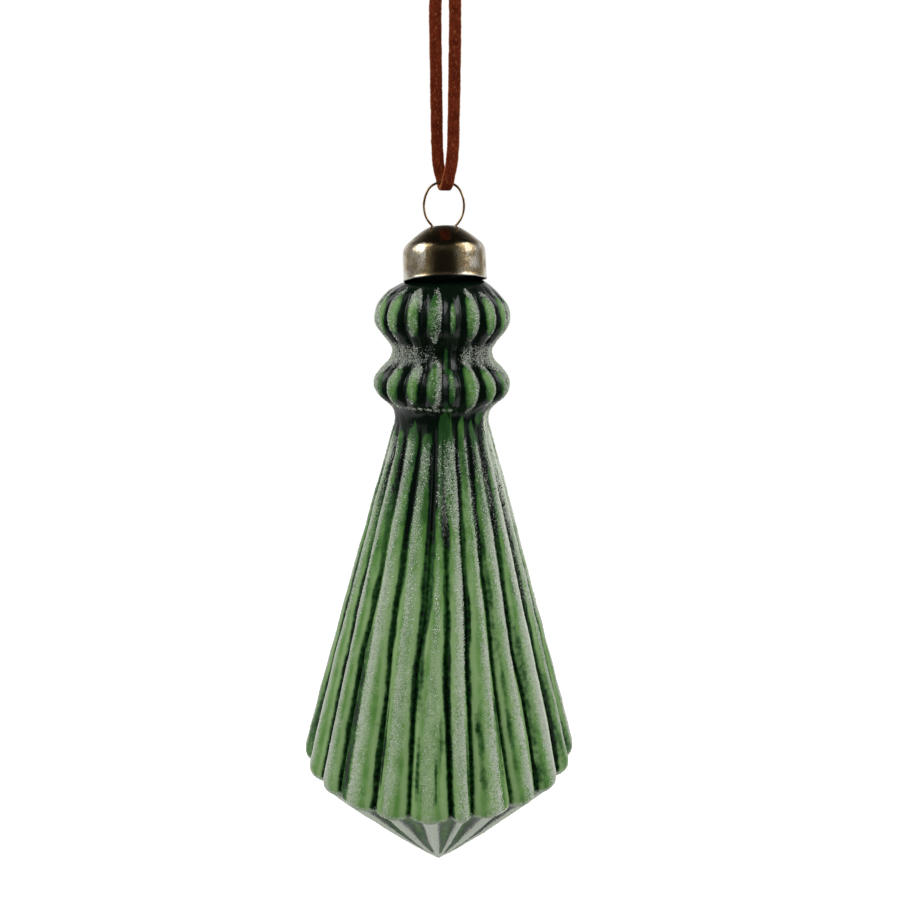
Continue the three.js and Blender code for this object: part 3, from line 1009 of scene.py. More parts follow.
@dataclass(frozen=True)
class LobePatch:
    """Patch on one lobe's crest where the dark glaze is rubbed off.

    Its half width and lean are shares of the lobe's width, its top and foot are heights.
    """

    half_width: float
    top: float
    foot: float
    lean: float
    side: Side
    frosted: float
    brightness: float

    def looks(self, across: Array, height: Array) -> tuple[Array, Array, Array, Array]:
        """Looks of the patch at each point of its lobe.

        Args:
            across: Place across the lobe, from -0.5 to 0.5.
            height: Height in millimetres.

        Returns:
            Whether the patch reaches the point, and how open, frosted and bright it is there.
        """
        up = (height - (self.top + self.foot) / 2) / ((self.top - self.foot) / 2)
        aside = (across - self.lean * up) / self.half_width
        edge = 1.0 - (aside * aside + np.abs(up) ** 3)
        opened = ramp(edge, -0.4, 1.05)
        if self.side is Side.MIDDLE:
            frost = ramp(up, 0.5 - 1.2 * self.frosted, 1.5 - 1.2 * self.frosted)
            frost = np.maximum(frost, bump(up, -0.75, 0.3) * bump(aside, -0.3, 0.9))
        else:
            aside = aside * self.side.value
            frost = ramp(aside, 0.3 - 1.5 * self.frosted, 1.75 - 1.5 * self.frosted)
            frost = np.maximum(frost, 0.9 * ramp(np.abs(up), 0.62, 1.0) * ramp(aside, -0.9, 0.3))
        frost = frost * ramp(edge, -0.75, -0.1) * (self.frosted > 0.0)
        return np.abs(up) < 1.25, opened, frost, self.brightness + 0.15 * up - 0.5 * (1 - opened)


@dataclass(frozen=True)
class Groove:
    """Groove between two ribs: its azimuths and its dark band's half widths down the cone, in degrees."""

    azimuths: tuple[float, ...]
    half_widths: tuple[float, ...]


@dataclass(frozen=True)
class FrostBand:
    """Frost along one rib: its first and last azimuth at each height, and how white it is."""

    first: tuple[float, ...]
    last: tuple[float, ...]
    white: float


@dataclass(frozen=True)
class Spot:
    """Round spot on the glass: its middle, half width and half height, and its strength or thickness."""

    azimuth: float
    height: float
    half_azimuth: float
    half_height: float
    strength: float

    def place(self, at: Surface) -> tuple[Array, Array]:
        """Place across and up from the spot's middle, as shares of its half width and half height."""
        return (at.azimuth - self.azimuth) / self.half_azimuth, (at.height - self.height) / self.half_height

    def soft(self, at: Surface) -> Array:
        """Strength of the spot at each point, fading to its edge."""
        across = bump(at.azimuth, self.azimuth, self.half_azimuth)
        return across * bump(at.height, self.height, self.half_height) * self.strength


@dataclass(frozen=True)
class Streak:
    """Dark run down a rib, glaze except the last of the table, which is painted shadow under drips: azimuth
    and height of both ends, half width in degrees and darkness.
    """

    azimuths: tuple[float, float]
    heights: tuple[float, float]
    half_width: float
    dark: float

    def mark(self, at: Surface) -> Array:
        """Strength of the run.

        Args:
            at: The laid out points.

        Returns:
            The strength at each point, 0 away from the run.
        """
        along = (at.height - self.heights[0]) / (self.heights[1] - self.heights[0])
        middle = self.azimuths[0] + (self.azimuths[1] - self.azimuths[0]) * np.clip(along, 0, 1)
        width = self.half_width * (1 + 0.4 * at.quick)
        across = ramp(1.4 - np.abs(at.azimuth - middle) / width, 0.0, 1.1)
        return across * between(along, -0.05, 0.3, 0.7, 1.05) * (0.92 + 0.3 * at.quick)


@dataclass(frozen=True)
class GlassLook:
    """Where the glass is glazed dark, frosted, white with frost and painted light, and bright green."""

    whitest: float = 1.6
    seam_azimuth: float = 9.5
    drip: Spot = Spot(48.0, -105.3, 8.6, 2.7, 0.3)
    # Lower border of the dark throat, and azimuth, half width and height of the places where it rises.
    throat_border: float = -109.8
    throat_rises: tuple[tuple[float, float, float], ...] = (
        (4.5, 15.2, 6.8), (23.5, 6.4, 5.3), (38.0, 8.0, 3.3), (-34.0, 8.8, 2.5),
    )
    dustings: tuple[Spot, ...] = (
        Spot(3.0, -124.0, 6.5, 22.0, 0.62),
        Spot(30.0, -130.0, 3.5, 18.0, 0.62),
        Spot(48.0, -124.0, 6.0, 22.0, 0.5),
    )
    streaks: tuple[Streak, ...] = (
        Streak((-72.0, -76.0), (-128, -214), 4.8, 0.5),
        Streak((73.5, 75.0), (-150, -214), 3.8, 0.47),
        Streak((-41.6, -40.6), (-150, -216), 3.0, 0.6),
        Streak((-23.4, -23.2), (-166, -202), 0.5, 0.7),
        Streak((-9.4, -8.8), (-150, -180), 2.8, 0.47),
        Streak((-11.8, -11.4), (-121, -133), 2.4, 0.36),
        Streak((-8.0, -8.4), (-176, -202), 1.0, 0.42),
        Streak((1.4, 0.9), (-175, -192), 1.3, 0.42),
        Streak((-0.9, -1.1), (-184, -202), 0.5, 0.62),
        Streak((12.6, 12.2), (-178, -202), 0.4, 0.6),
        Streak((18.0, 19.2), (-172, -202), 1.7, 0.44),
        Streak((27.6, 27.4), (-170, -200), 1.2, 0.55),
        Streak((33.3, 33.8), (-158, -202), 1.4, 0.4),
        Streak((32.6, 32.2), (-118, -172), 2.4, 0.43),
        Streak((46.8, 46.4), (-146, -212), 3.6, 0.42),
        Streak((64.0, 63.6), (-166, -206), 3.4, 0.41),
        Streak((23.0, 23.5), (-107, -126), 3.0, 0.34),
        # Painted shadow under the drips at the foot of the lower bulge.
        Streak((27.0, 31.0), (-102, -111), 2.2, 1.0),
    )
    upper_patches: tuple[LobePatch, ...] = (
        LobePatch(0.42, -74.2, -85.6, 0.05, Side.LEFT, 0.6, 0.533),
        LobePatch(0.33, -73.7, -85.2, 0.08, Side.LEFT, 0.5, 0.492),
        LobePatch(0.33, -73.6, -84.9, -0.05, Side.MIDDLE, 0.6, 0.492),
        LobePatch(0.34, -73.4, -85.2, 0.05, Side.RIGHT, 0.42, 0.164),
        LobePatch(0.18, -75.6, -84.0, 0.0, Side.MIDDLE, 0.0, 0.246),
        LobePatch(0.34, -73.7, -85.5, -0.04, Side.RIGHT, 0.6, 0.41),
        LobePatch(0.34, -74.2, -85.0, -0.1, Side.RIGHT, 0.52, 0.492),
        LobePatch(0.36, -74.4, -85.4, -0.1, Side.RIGHT, 0.55, 0.533),
    )
    lower_patches: tuple[LobePatch, ...] = (
        LobePatch(0.32, -93.6, -101.2, 0.0, Side.LEFT, 0.2, 0.246),
        LobePatch(0.34, -91.8, -102.2, 0.06, Side.LEFT, 0.55, 0.41),
        LobePatch(0.31, -91.8, -101.6, 0.0, Side.MIDDLE, 0.55, 0.41),
        LobePatch(0.38, -90.4, -101.4, 0.0, Side.RIGHT, 0.55, 0.287),
        LobePatch(0.19, -92.2, -101.0, 0.0, Side.MIDDLE, 0.0, 0.246),
        LobePatch(0.38, -90.8, -103.0, -0.04, Side.RIGHT, 0.5, 0.41),
        LobePatch(0.34, -92.0, -101.6, -0.08, Side.RIGHT, 0.6, 0.41),
        LobePatch(0.3, -93.0, -100.8, -0.1, Side.RIGHT, 0.35, 0.287),
    )

    def patch_fields(self, at: Surface) -> tuple[Array, Array, Array]:
        """Where the lobes' patches are open, frosted and bright.

        Args:
            at: The laid out points.

        Returns:
            Openness, frost and brightness from 0 to 1.
        """
        openness, frost = np.zeros_like(at.height), np.zeros_like(at.height)
        bright = np.full_like(at.height, 0.3)
        for patches in (self.upper_patches, self.lower_patches):
            for k in range(round(at.lobe_number.max()) + 1):
                patch = patches[k] if k < len(patches) else patches[(k * 5 + 3) % len(patches)]
                near, opened, frosted, shade = patch.looks(at.lobe_share - 0.5, at.height)
                inside = near & (at.lobe_number == k)
                openness = np.where(inside, np.maximum(openness, opened), openness)
                frost = np.where(inside, np.maximum(frost, frosted), frost)
                bright = np.where(inside, shade, bright)
        return openness, frost, bright

    def bulge_fields(self, at: Surface) -> dict[str, Array]:
        """Looks of the two bulges, the waist between them and the ledge beneath them.

        Args:
            at: The laid out points.

        Returns:
            The four fields by name.
        """
        # outer rises towards the outlines seen from the front; frost and hoar grow with it as painted edge
        # light.
        outer = ramp(at.off_middle, 45.0, 80.0)
        openness, patch_frost, bright = self.patch_fields(at)
        streak = bump(at.azimuth, 4.5, 7.0) * ramp(at.depth, 86.0, 88.0)
        streak = streak * (1 - 0.8 * bump(at.depth, 97.0, 5.0))
        seam = bump(at.azimuth, self.seam_azimuth, 2.4) * ramp(at.depth, 101.0, 103.0)
        waist = between(at.depth, 85.2, 87.6, 90.6 + 2.0 * outer, 93.2 + 2.6 * outer)
        front_dark = bump(at.azimuth, 2.0, 34.0)
        ledge = bump(at.height + 0.3 * at.slow, -102.6, 0.9) * (1 - ramp(at.azimuth, 8.0, 16.0))
        # Painted edge light: frost along the bulges' outlines.
        rims = outer * bump(at.off_middle, 82.0, 22.0) * ramp(at.depth, 75.0, 78.0)
        under_right = between(at.azimuth, 46.0, 60.0, 115.0, 140.0) * ramp(at.depth, 100.0, 102.0)
        frost = highest(
            patch_frost * (0.8 + 0.3 * at.quick),
            openness * (0.3 + 0.3 * at.quick),
            waist * (0.5 + 0.2 * outer - 0.46 * front_dark + 0.14 * at.quick + 0.08 * at.slow),
            ledge * (0.56 + 0.5 * at.quick),
            rims * 0.75,
            under_right * (0.75 + 0.3 * at.quick),
        )
        return {
            "glaze": (1.0 - openness) * (1 - 0.6 * streak) * (1 - 0.75 * seam),
            "frost": frost,
            "hoar_and_painted_light": 0.42 + 0.4 * outer + 0.12 * waist + 0.25 * ledge,
            "bright": bright,
        }

    def cone_glaze(self, at: Surface, beyond: Array, pale: Array) -> Array:
        """Dark glaze of the cone, in its grooves and over its throat.

        Args:
            at: The laid out points.
            beyond: Distance past the nearest groove's dark band, in millimetres.
            pale: How far the grooves' glaze is rubbed off, from 0 to 1.

        Returns:
            The glaze, with its border at 0.5.
        """
        darkest = 0.54 + 0.46 * (1 - ramp(at.depth, 116.0, 142.0)) + 0.1 * at.slow
        groove = np.minimum(0.5 - np.where(beyond > 0, beyond / 1.4, beyond / 1.1), darkest - 0.36 * pale)
        rises = [rise * bump(at.azimuth, middle, half) for middle, half, rise in self.throat_rises]
        above = at.height - (self.throat_border + highest(*rises))
        return np.maximum(groove, ramp(above + 1.8 * at.quick, -2.4, 3.2))

    def cone_frost(self, at: Surface, beyond: Array, pale: Array) -> tuple[Array, Array]:
        """Frost of the cone: bands along its ribs, veils at its sides, dust and outline, with painted light
        on the bands' outward sides and along the outline.

        Args:
            at: The laid out points.
            beyond: Distance past the nearest groove's dark band, in millimetres.
            pale: How far the grooves' glaze is rubbed off, from 0 to 1.

        Returns:
            The frost, with its border at 0.5, and how white it is, painted light included.
        """
        outward = np.clip(at.azimuth / 20.0, -1.0, 1.0)
        from_first = (at.turned - at.frost_first) * at.per_degree
        from_last = (at.frost_last - at.turned) * at.per_degree
        share_of_band = np.clip(from_first / np.maximum(from_first + from_last, 0.3), 0.0, 1.0)
        # Painted light: the side of each frost band that faces outward gets thicker, whiter frost, as if lit
        # from the sides.
        outer_edge = 0.5 + outward * (share_of_band - 0.5)
        fade_first = from_first / (1.3 + 1.9 * np.clip(outward, 0.0, 1.0))
        fade_last = from_last / (1.3 + 1.9 * np.clip(-outward, 0.0, 1.0))
        thickest = 0.45 + (0.36 + 0.3 * ramp(at.off_middle, 32.0, 58.0)) * outer_edge
        thickest = thickest + 0.12 * bump(at.along_cone, 0.62, 0.6) + 0.2 * at.quick
        bands = 0.5 + np.minimum(fade_first, fade_last) + 0.3 * at.slow + 0.3 * at.quick
        right = between(at.azimuth, 48.0, 66.0, 120.0, 160.0) * (1 - ramp(at.depth, 120.0, 168.0))
        right = right * (1 - 0.8 * bump(at.azimuth, 65.0, 6.5) * ramp(at.depth, 118.0, 128.0))
        left = between(-at.azimuth, 56.0, 66.0, 110.0, 140.0) * bump(at.depth, 116.0, 7.5)
        veil = np.maximum(right, left)
        # Painted rim light: frost and whiteness along the cone's outline seen from the front.
        outline = bump(at.off_middle + 1.5 * at.slow, 85.5, 7.5) * ramp(beyond, -0.6, 0.4)
        outline = outline * (0.75 + 0.45 * at.quick)
        frost = highest(
            np.clip(bands, 0.0, thickest) * ramp(at.depth + 1.6 * at.quick, 109.0, 112.5),
            veil * (0.72 + 0.55 * at.quick),
            *[spot.soft(at) for spot in self.dustings],
            0.1 * ramp(beyond, 0.4, 1.0) + 0.2 * pale,
            outline,
        )
        # Whiteness: each rib's own, raised on the bands' outward sides, towards the outlines and along the
        # outline as painted light.
        white = at.white * (0.4 + 1.15 * outer_edge) * (0.72 + 0.28 * ramp(at.depth, 118.0, 150.0))
        white = white + 0.45 * ramp(at.off_middle, 40.0, 70.0) * outer_edge + 0.55 * veil + 0.6 * outline
        return frost, np.minimum(white, self.whitest)

    def cone_bright(self, at: Surface, beyond: Array) -> Array:
        """How bright the cone's green is, brightest just past each groove's dark band.

        Args:
            at: The laid out points.
            beyond: Distance past the nearest groove's dark band, in millimetres.

        Returns:
            The brightness of each point, about 0 to 1.
        """
        bright = 0.16 + 0.6 * ramp(at.depth, 110.0, 160.0) + 0.16 * at.slow
        bright = bright + 0.3 * bump(beyond, 0.9, 0.9) * ramp(at.depth, 128.0, 160.0)
        bright = bright - 0.3 * bump(at.azimuth, 4.0, 10.0) * (1 - ramp(at.depth, 116.0, 136.0))
        bright = bright - 0.28 * bump(beyond, 2.4, 1.4) * at.along_cone
        return bright - 0.1 * ramp(at.off_middle, 28.0, 45.0) * at.along_cone

    def cone_fields(self, at: Surface) -> dict[str, Array]:
        """Looks of the ribbed cone.

        Args:
            at: The laid out points.

        Returns:
            The four fields by name.
        """
        ragged = (1.0 + 0.25 * at.slow + 0.4 * at.quick) * (1.1 - 0.22 * ramp(at.depth, 140.0, 170.0))
        before = at.rib_share * at.rib_width - at.half_before * ragged
        after = (1 - at.rib_share) * at.rib_width - at.half_after * ragged
        beyond = np.minimum(before, after) * at.per_degree
        pale = np.maximum(ramp(-at.azimuth, 34.0, 44.0), 0.9 * bump(at.azimuth, 17.0, 4.0))
        pale = pale * between(at.depth, 110.0, 113.0, 128.0, 150.0)
        glaze = self.cone_glaze(at, beyond, pale)
        frost, white = self.cone_frost(at, beyond, pale)
        for run in self.streaks:
            mark = run.mark(at)
            glaze = np.maximum(glaze, run.dark * mark)
            frost = frost * (1 - 0.6 * mark)
        return {"glaze": glaze, "frost": frost, "hoar_and_painted_light": white, "bright": self.cone_bright(at, beyond)}

    def underside_fields(self, at: Surface) -> dict[str, Array]:
        """Looks of the pointed underside, where each groove ends in a glossy leaf-shaped hollow.

        Args:
            at: The laid out points.

        Returns:
            The four fields by name.
        """
        ridge = np.abs(at.rib_share - 0.5) * 2.0
        along = at.along_underside
        narrower = 0.3 * along**2
        leaf = ramp(ridge, 0.34 + narrower, 0.5 + narrower) * (1 - ramp(along, 0.72, 0.9))
        rim_line = bump(ridge, 0.42 + narrower, 0.12) * (1 - ramp(along, 0.7, 0.9))
        return {
            "glaze": 0.02 + leaf * (0.4 - 0.12 * bump(ridge, 0.95, 0.3)) + 0.5 * rim_line + 0.12 * at.quick,
            "frost": 1.0 - 1.15 * leaf + 0.12 * at.quick,
            # Painted light: the underside's frost is whitened to stand in for the light that it lacks from
            # below.
            "hoar_and_painted_light": 1.5 - 0.4 * leaf,
            "bright": 0.5 - 0.3 * ramp(along, 0.2, 0.7),
        }

    def fields(self, at: Surface) -> dict[str, Array]:
        """Looks of the whole glass.

        Args:
            at: The laid out points.

        Returns:
            The four fields from 0 to 1, hoar somewhat above it, with the border of glaze and frost at 0.5.
        """
        bulge, cone, foot = self.bulge_fields(at), self.cone_fields(at), self.underside_fields(at)
        on_cone, below = ramp(at.depth, 103.4, 104.6), ramp(at.depth, 202.6, 204.2)
        mixed = {}
        for name, above in bulge.items():
            both = (above * (1 - on_cone) + cone[name] * on_cone) * (1 - below) + foot[name] * below
            mixed[name] = np.clip(both, 0.0, self.whitest if name == "hoar_and_painted_light" else 1.0)
        rim_frost = bump(at.depth, 202.4, 1.4) * (0.7 + 0.3 * ramp(at.off_middle, 15.0, 40.0))
        mixed["frost"] = np.maximum(mixed["frost"], rim_frost)
        mixed["hoar_and_painted_light"] = mixed["hoar_and_painted_light"] + 0.6 * rim_frost
        across, up = self.drip.place(at)
        drop = np.hypot(across * (1.0 + 0.5 * np.clip(-up, 0.0, 1.0)), up)
        mixed["glaze"] = np.where(drop < 1.3, ramp(drop, 0.62, 0.85), mixed["glaze"])
        mixed["frost"] = np.where(drop < 1.3, 0.0, mixed["frost"])
        return mixed


@dataclass
class GlassDrop:
    """Hollow mould-blown drop: neck, two lobed bulges, ribbed cone and pointed underside."""

    rib_count: int = 24
    columns_per_rib: int = 20
    lobe_count: int = 20
    rib_depth: float = 2.3
    rib_depth_at_throat: float = 0.6
    lobe_depth: float = 1.3
    rib_crispness: float = 0.55
    lobe_crispness: float = 0.8
    underside_crispness: float = 3.0
    underside_bulge: float = 0.8
    gathering: float = 0.55
    ripple_height: float = 0.5
    ripple_size: float = 7.0
    rim_slant: float = 0.75
    neck_slant: float = 0.42
    cone_top: float = -110.3
    cone_rows: int = 72
    rim: float = -200.06
    underside: float = -203.1
    underside_rows: int = 28
    tip: float = -242.56
    throat_radius: float = 13.2
    rim_radius: float = 38.35
    bulge_spacing: float = 0.62
    seam_height: float = 0.16
    look: GlassLook = GlassLook()
    neck: tuple[tuple[float, float], ...] = (
        (6.9, -64.23), (7.5, -64.25), (7.9, -64.55), (8.0, -65.2), (8.0, -67.4), (8.0, -70.4), (8.1, -70.9),
        (8.6, -71.25), (9.6, -71.35), (10.4, -71.55),
    )
    bulges: tuple[tuple[float, float], ...] = (
        (11.2, -71.95), (12.5, -72.85), (14.0, -74.0), (15.05, -75.0), (15.95, -76.0), (16.7, -77.0),
        (17.2, -78.1), (17.6, -80.2), (17.4, -82.0), (16.3, -84.0), (14.6, -86.1), (13.35, -88.0),
        (13.05, -89.0), (13.35, -90.4), (14.2, -92.0), (16.2, -94.0), (17.65, -96.0), (17.95, -97.5),
        (17.75, -99.0), (16.6, -101.0), (14.2, -103.0), (12.95, -104.5), (12.45, -106.5), (12.6, -108.4),
    )
    corner: tuple[tuple[float, float], ...] = (
        (38.4, -201.2), (38.4, -201.9), (38.2, -202.5), (37.8, -203.0), (37.2, -203.5), (36.6, -204.1),
    )
    hollow: tuple[tuple[float, float], ...] = (
        (0.0, -239.6), (17.1, -220.5), (33.6, -201.0), (32.6, -196.0), (20.8, -153.0), (11.9, -116.0),
        (10.4, -107.5), (14.9, -97.6), (11.2, -88.9), (14.6, -80.4), (6.5, -73.6), (6.5, -65.0),
        (6.7, -64.4),
    )
    lobe_partings: tuple[float, ...] = (-74.1, -56.3, -33.9, -15.0, 1.3, 16.5, 34.7, 54.7)
    groove_heights: tuple[float, ...] = (-109, -115, -122, -133, -144, -154, -165, -176, -187, -199)
    front_grooves: tuple[Groove, ...] = (
        Groove((-79, -79, -78.5, -78, -77.8, -77.5, -76.8, -76, -75, -73),
               (2, 2, 2, 2, 2.2, 2.4, 2.2, 2.2, 1.8, 1)),
        Groove((-62, -59, -61, -61, -60.3, -59.8, -58.5, -58, -57.2, -56.5),
               (3.2, 4, 3.5, 2.2, 1.4, 1.7, 1.5, 1.5, 1.3, 0.9)),
        Groove((-45, -43.5, -43, -44.4, -43.2, -43.4, -45.3, -44.8, -44.8, -43.8),
               (2.6, 4, 4.8, 2.2, 2.3, 2.6, 1.6, 1.7, 1.1, 0.8)),
        Groove((-23.5, -23.7, -24.5, -26, -26, -27.4, -26.8, -25.8, -26, -25.5),
               (3, 2.8, 3.4, 2.4, 2, 1.9, 1.7, 1.3, 1.4, 1.3)),
        Groove((-6.5, -6.8, -6.4, -7.0, -7.3, -8.2, -11.4, -11.7, -11.5, -11.2),
               (4.2, 4.2, 4.2, 3.2, 2.9, 2.5, 1.6, 1.3, 0.8, 0.8)),
        Groove((2, 2, 2.4, 4.2, 4.5, 4.8, 3.8, 4.2, 4.8, 5.4),
               (-1.5, -1.5, 0.9, 2.3, 1.5, 1.5, 1.7, 1.2, 1, 0.9)),
        Groove((16.5, 16.2, 16.2, 16.1, 15.9, 16.1, 14.7, 14.6, 14.3, 13.7),
               (3, 2.2, 1.8, 1.6, 1.6, 1.9, 1.3, 0.9, 0.8, 0.8)),
        Groove((31, 32, 30, 29.6, 29.2, 29.8, 29, 29.2, 29.6, 30.5),
               (3.5, 4.3, 2.5, 1.7, 1.1, 1.4, 1, 0.7, 0.6, 0.6)),
        Groove((48, 47.8, 47.7, 46.8, 45.8, 44, 43, 45, 45, 43.5),
               (5, 5, 4.5, 3.2, 2.4, 1.8, 1.5, 1.4, 1.1, 1.6)),
        Groove((66, 66, 65.5, 65, 63.8, 63, 63.3, 62.3, 62, 59.5),
               (-2, -2, 4, 3.6, 2.5, 2.7, 1.5, 1.5, 2, 1.3)),
        Groove((83, 82.5, 81.5, 80.5, 79.5, 79, 78, 77, 75.5, 73.5),
               (-2, -2, 1, 1.5, 1.8, 2, 2, 1.8, 1.5, 1.2)),
    )
    frost_heights: tuple[float, ...] = (-115, -133, -155, -180, -198)
    # How white each band is rises from the middle rib to the outer ones as painted edge light.
    front_frost: tuple[FrostBand, ...] = (
        FrostBand((-78, -73, -74, -72, -69.5), (-65, -65, -66.5, -65, -63.5), 0.95),
        FrostBand((-55.5, -57.5, -58.3, -56.7, -54.5), (-50, -51, -51, -50, -48), 0.85),
        FrostBand((-38.5, -40, -39, -38.7, -37.5), (-29.5, -33, -32, -32, -32.5), 0.68),
        FrostBand((-20, -22.5, -21, -21.5, -21), (-11, -15, -16, -15.5, -17), 0.45),
        FrostBand((-3.5, -1, -4, -6, -6), (1, -1, 1, 0, -2), 0.22),
        FrostBand((2, 10.5, 9.5, 7.5, 8.5), (14, 14.3, 13.6, 12, 12), 0.7),
        FrostBand((22, 23.5, 23, 21.5, 20), (27.5, 27.5, 27, 26.3, 26), 0.78),
        FrostBand((38, 34.5, 36, 36.5, 36), (43, 43, 41.7, 40.8, 40.5), 0.82),
        FrostBand((54, 51, 51, 49.5, 50), (62, 60.5, 60.3, 58.5, 57), 0.85),
        FrostBand((62, 66, 67, 67, 66), (80, 80, 78, 75, 72), 0.95),
    )

    def outline(self) -> Array:
        """Crest radius and height of each row of points, from the mouth down to above the tip."""
        upper = turned_line(self.bulges, self.bulge_spacing)
        heights = np.linspace(self.cone_top, self.rim, self.cone_rows)
        slope = (self.rim_radius - self.throat_radius) / (self.cone_top - self.rim)
        cone = np.stack([self.throat_radius + (self.cone_top - heights) * slope, heights], axis=1)
        shares = np.linspace(0.0, 0.985, self.underside_rows + 1)[1:]
        bulge = self.underside_bulge * np.sin(math.pi * shares) ** 0.8
        radius, height = self.corner[-1]
        foot = np.stack([radius * (1 - shares), height + (self.tip - height) * shares - bulge], axis=1)
        return np.vstack([self.neck, upper, cone, self.corner, foot])

    def all_grooves(self, heights: Array) -> tuple[Array, Array]:
        """Azimuths and dark half widths of the ribs' grooves, one row of grooves for each height.

        Args:
            heights: Heights in millimetres.

        Returns:
            Azimuths that rise along each row to a full turn after the first, and half widths, in degrees.
        """
        down = -np.clip(heights, self.groove_heights[-1], self.groove_heights[0])
        known = -np.array(self.groove_heights, dtype=float)
        lines = [np.interp(down, known, groove.azimuths) for groove in self.front_grooves]
        halves = [np.interp(down, known, groove.half_widths) for groove in self.front_grooves]
        first, last = lines[0], lines[-1]
        behind = self.rib_count - len(lines) + 1
        for k in range(1, behind):
            even = last + (first + 360.0 - last) * k / behind
            spot = np.stack([np.full_like(down, 40.0 * k), down, np.zeros_like(down)], axis=1)
            lines.append(even + unevenness(spot, 16.0, Seed.GROOVE_PLACES) * 1.3 + (k * 5 % 7 - 3) * 0.5)
            widths = 2.6 - 1.7 * ramp(down, 112.0, 190.0)
            halves.append(widths + unevenness(spot, 9.0, Seed.GROOVE_WIDTHS) * 0.8)
        return np.stack([*lines, first + 360.0], axis=1), np.stack([*halves, halves[0]], axis=1)

    def all_frost(self, grooves: Array, heights: Array) -> tuple[Array, Array, Array]:
        """Frost bands of all the ribs, from the table in front and by rule behind.

        Args:
            grooves: Azimuths of the grooves, one row for each height.
            heights: The rows' heights in millimetres.

        Returns:
            First and last azimuth of the frost on each rib at each height, and each rib's whiteness.
        """
        known = -np.array(self.frost_heights, dtype=float)
        ribs, widths = np.arange(self.rib_count), np.diff(grooves, axis=1)
        first = grooves[:, :-1] + widths * (0.3 + 0.12 * np.sin(ribs * 2.3))
        last = first + widths * 0.36
        white = 0.65 + 0.25 * np.sin(ribs * 1.9)
        for k, band in enumerate(self.front_frost):
            first[:, k] = np.interp(-heights, known, band.first)
            last[:, k] = np.interp(-heights, known, band.last)
            white[k] = band.white
        return first, last, white

    def all_lobes(self) -> Array:
        """Azimuths of the valleys between lobes, ending a full turn after the first."""
        known = list(self.lobe_partings)
        rest = self.lobe_count - len(known) + 1
        width = (known[0] + 360.0 - known[-1]) / rest
        return np.array(known + [known[-1] + width * k for k in range(1, rest + 1)])

    def lay_out(self) -> Surface:
        """Lays out every outer point with its place across its rib and its lobe."""
        rows = self.outline()
        around = self.rib_count * self.columns_per_rib
        (grooves, halves), lobes = self.all_grooves(rows[:, 1]), self.all_lobes()
        frost_first, frost_last, white = self.all_frost(grooves, rows[:, 1])
        number = np.arange(around)
        even = number % self.columns_per_rib / self.columns_per_rib
        gathered = even - self.gathering * np.sin(2 * math.pi * even) / (2 * math.pi)
        rib = number // self.columns_per_rib
        on_ribs = grooves[:, rib] + (grooves[:, rib + 1] - grooves[:, rib]) * gathered
        per_lobe = around // self.lobe_count
        lobe_of, lobe_part = number // per_lobe, number % per_lobe / per_lobe
        on_lobes = lobes[lobe_of] + (lobes[lobe_of + 1] - lobes[lobe_of]) * lobe_part
        ribbed = ramp(-rows[:, 1:], 104.0, 111.0)
        laid = on_lobes[None] * (1 - ribbed) + on_ribs * ribbed
        turned = (laid - grooves[:, :1]) % 360.0 + grooves[:, :1]
        marks = np.arange(self.rib_count + 1)
        rib_place = np.array([np.interp(places, line, marks) for places, line in zip(turned, grooves)])
        rib_number = np.minimum(np.floor(rib_place + 1e-9).astype(int), self.rib_count - 1)
        lobe_place = np.interp((laid - lobes[0]) % 360.0 + lobes[0], lobes, np.arange(len(lobes)))
        lobe_number = np.minimum(np.floor(lobe_place + 1e-9), self.lobe_count - 1)
        height = np.broadcast_to(rows[:, 1:], laid.shape)

        def of_rib(values: Array) -> Array:
            """Value of each point's own rib."""
            return np.take_along_axis(values, rib_number, axis=1)

        return Surface(
            laid=laid,
            turned=turned,
            radius=np.broadcast_to(rows[:, :1], laid.shape),
            height=height,
            along_cone=np.clip((self.cone_top - height) / (self.cone_top - self.rim), 0.0, 1.0),
            along_underside=np.clip((self.underside - height) / (self.underside - self.tip), 0.0, 1.0),
            rib_share=np.clip(rib_place - rib_number, 0.0, 1.0),
            lobe_share=np.clip(lobe_place - lobe_number, 0.0, 1.0),
            lobe_number=lobe_number,
            rib_width=of_rib(np.diff(grooves, axis=1)),
            half_before=of_rib(halves[:, :-1]),
            half_after=of_rib(halves[:, 1:]),
            frost_first=of_rib(frost_first),
            frost_last=of_rib(frost_last),
            white=white[rib_number],
        )

    def reliefs(self, at: Surface) -> dict[str, Array]:
        """How deep and how crisp the ribs and lobes are at each point.

        Args:
            at: The laid out points.

        Returns:
            Depths in millimetres and crispness of ribs and lobes.
        """
        along = at.along_underside
        extra_depth = (self.rib_depth - self.rib_depth_at_throat) * at.along_cone**0.7
        deep = (self.rib_depth_at_throat + extra_depth) * ramp(at.depth, 105.5, 112.0)
        extra_crispness = (self.underside_crispness - self.rib_crispness) * ramp(at.depth, 202.4, 206.0)
        seamed = bump(at.azimuth, 8.0, 17.0)
        lobe = self.lobe_depth * between(at.depth, 72.3, 77.5, 99.5, 105.0)
        return {
            "rib_relief": deep * (1 - along) ** 1.15 * (1 + 0.5 * bump(along, 0.25, 0.25)),
            "rib_crisp": self.rib_crispness + extra_crispness,
            "lobe_relief": lobe * (1 - 0.75 * bump(at.depth, 89.0, 3.8)) * (1 - 0.4 * seamed),
            "lobe_crisp": self.lobe_crispness + 0.6 * seamed,
        }

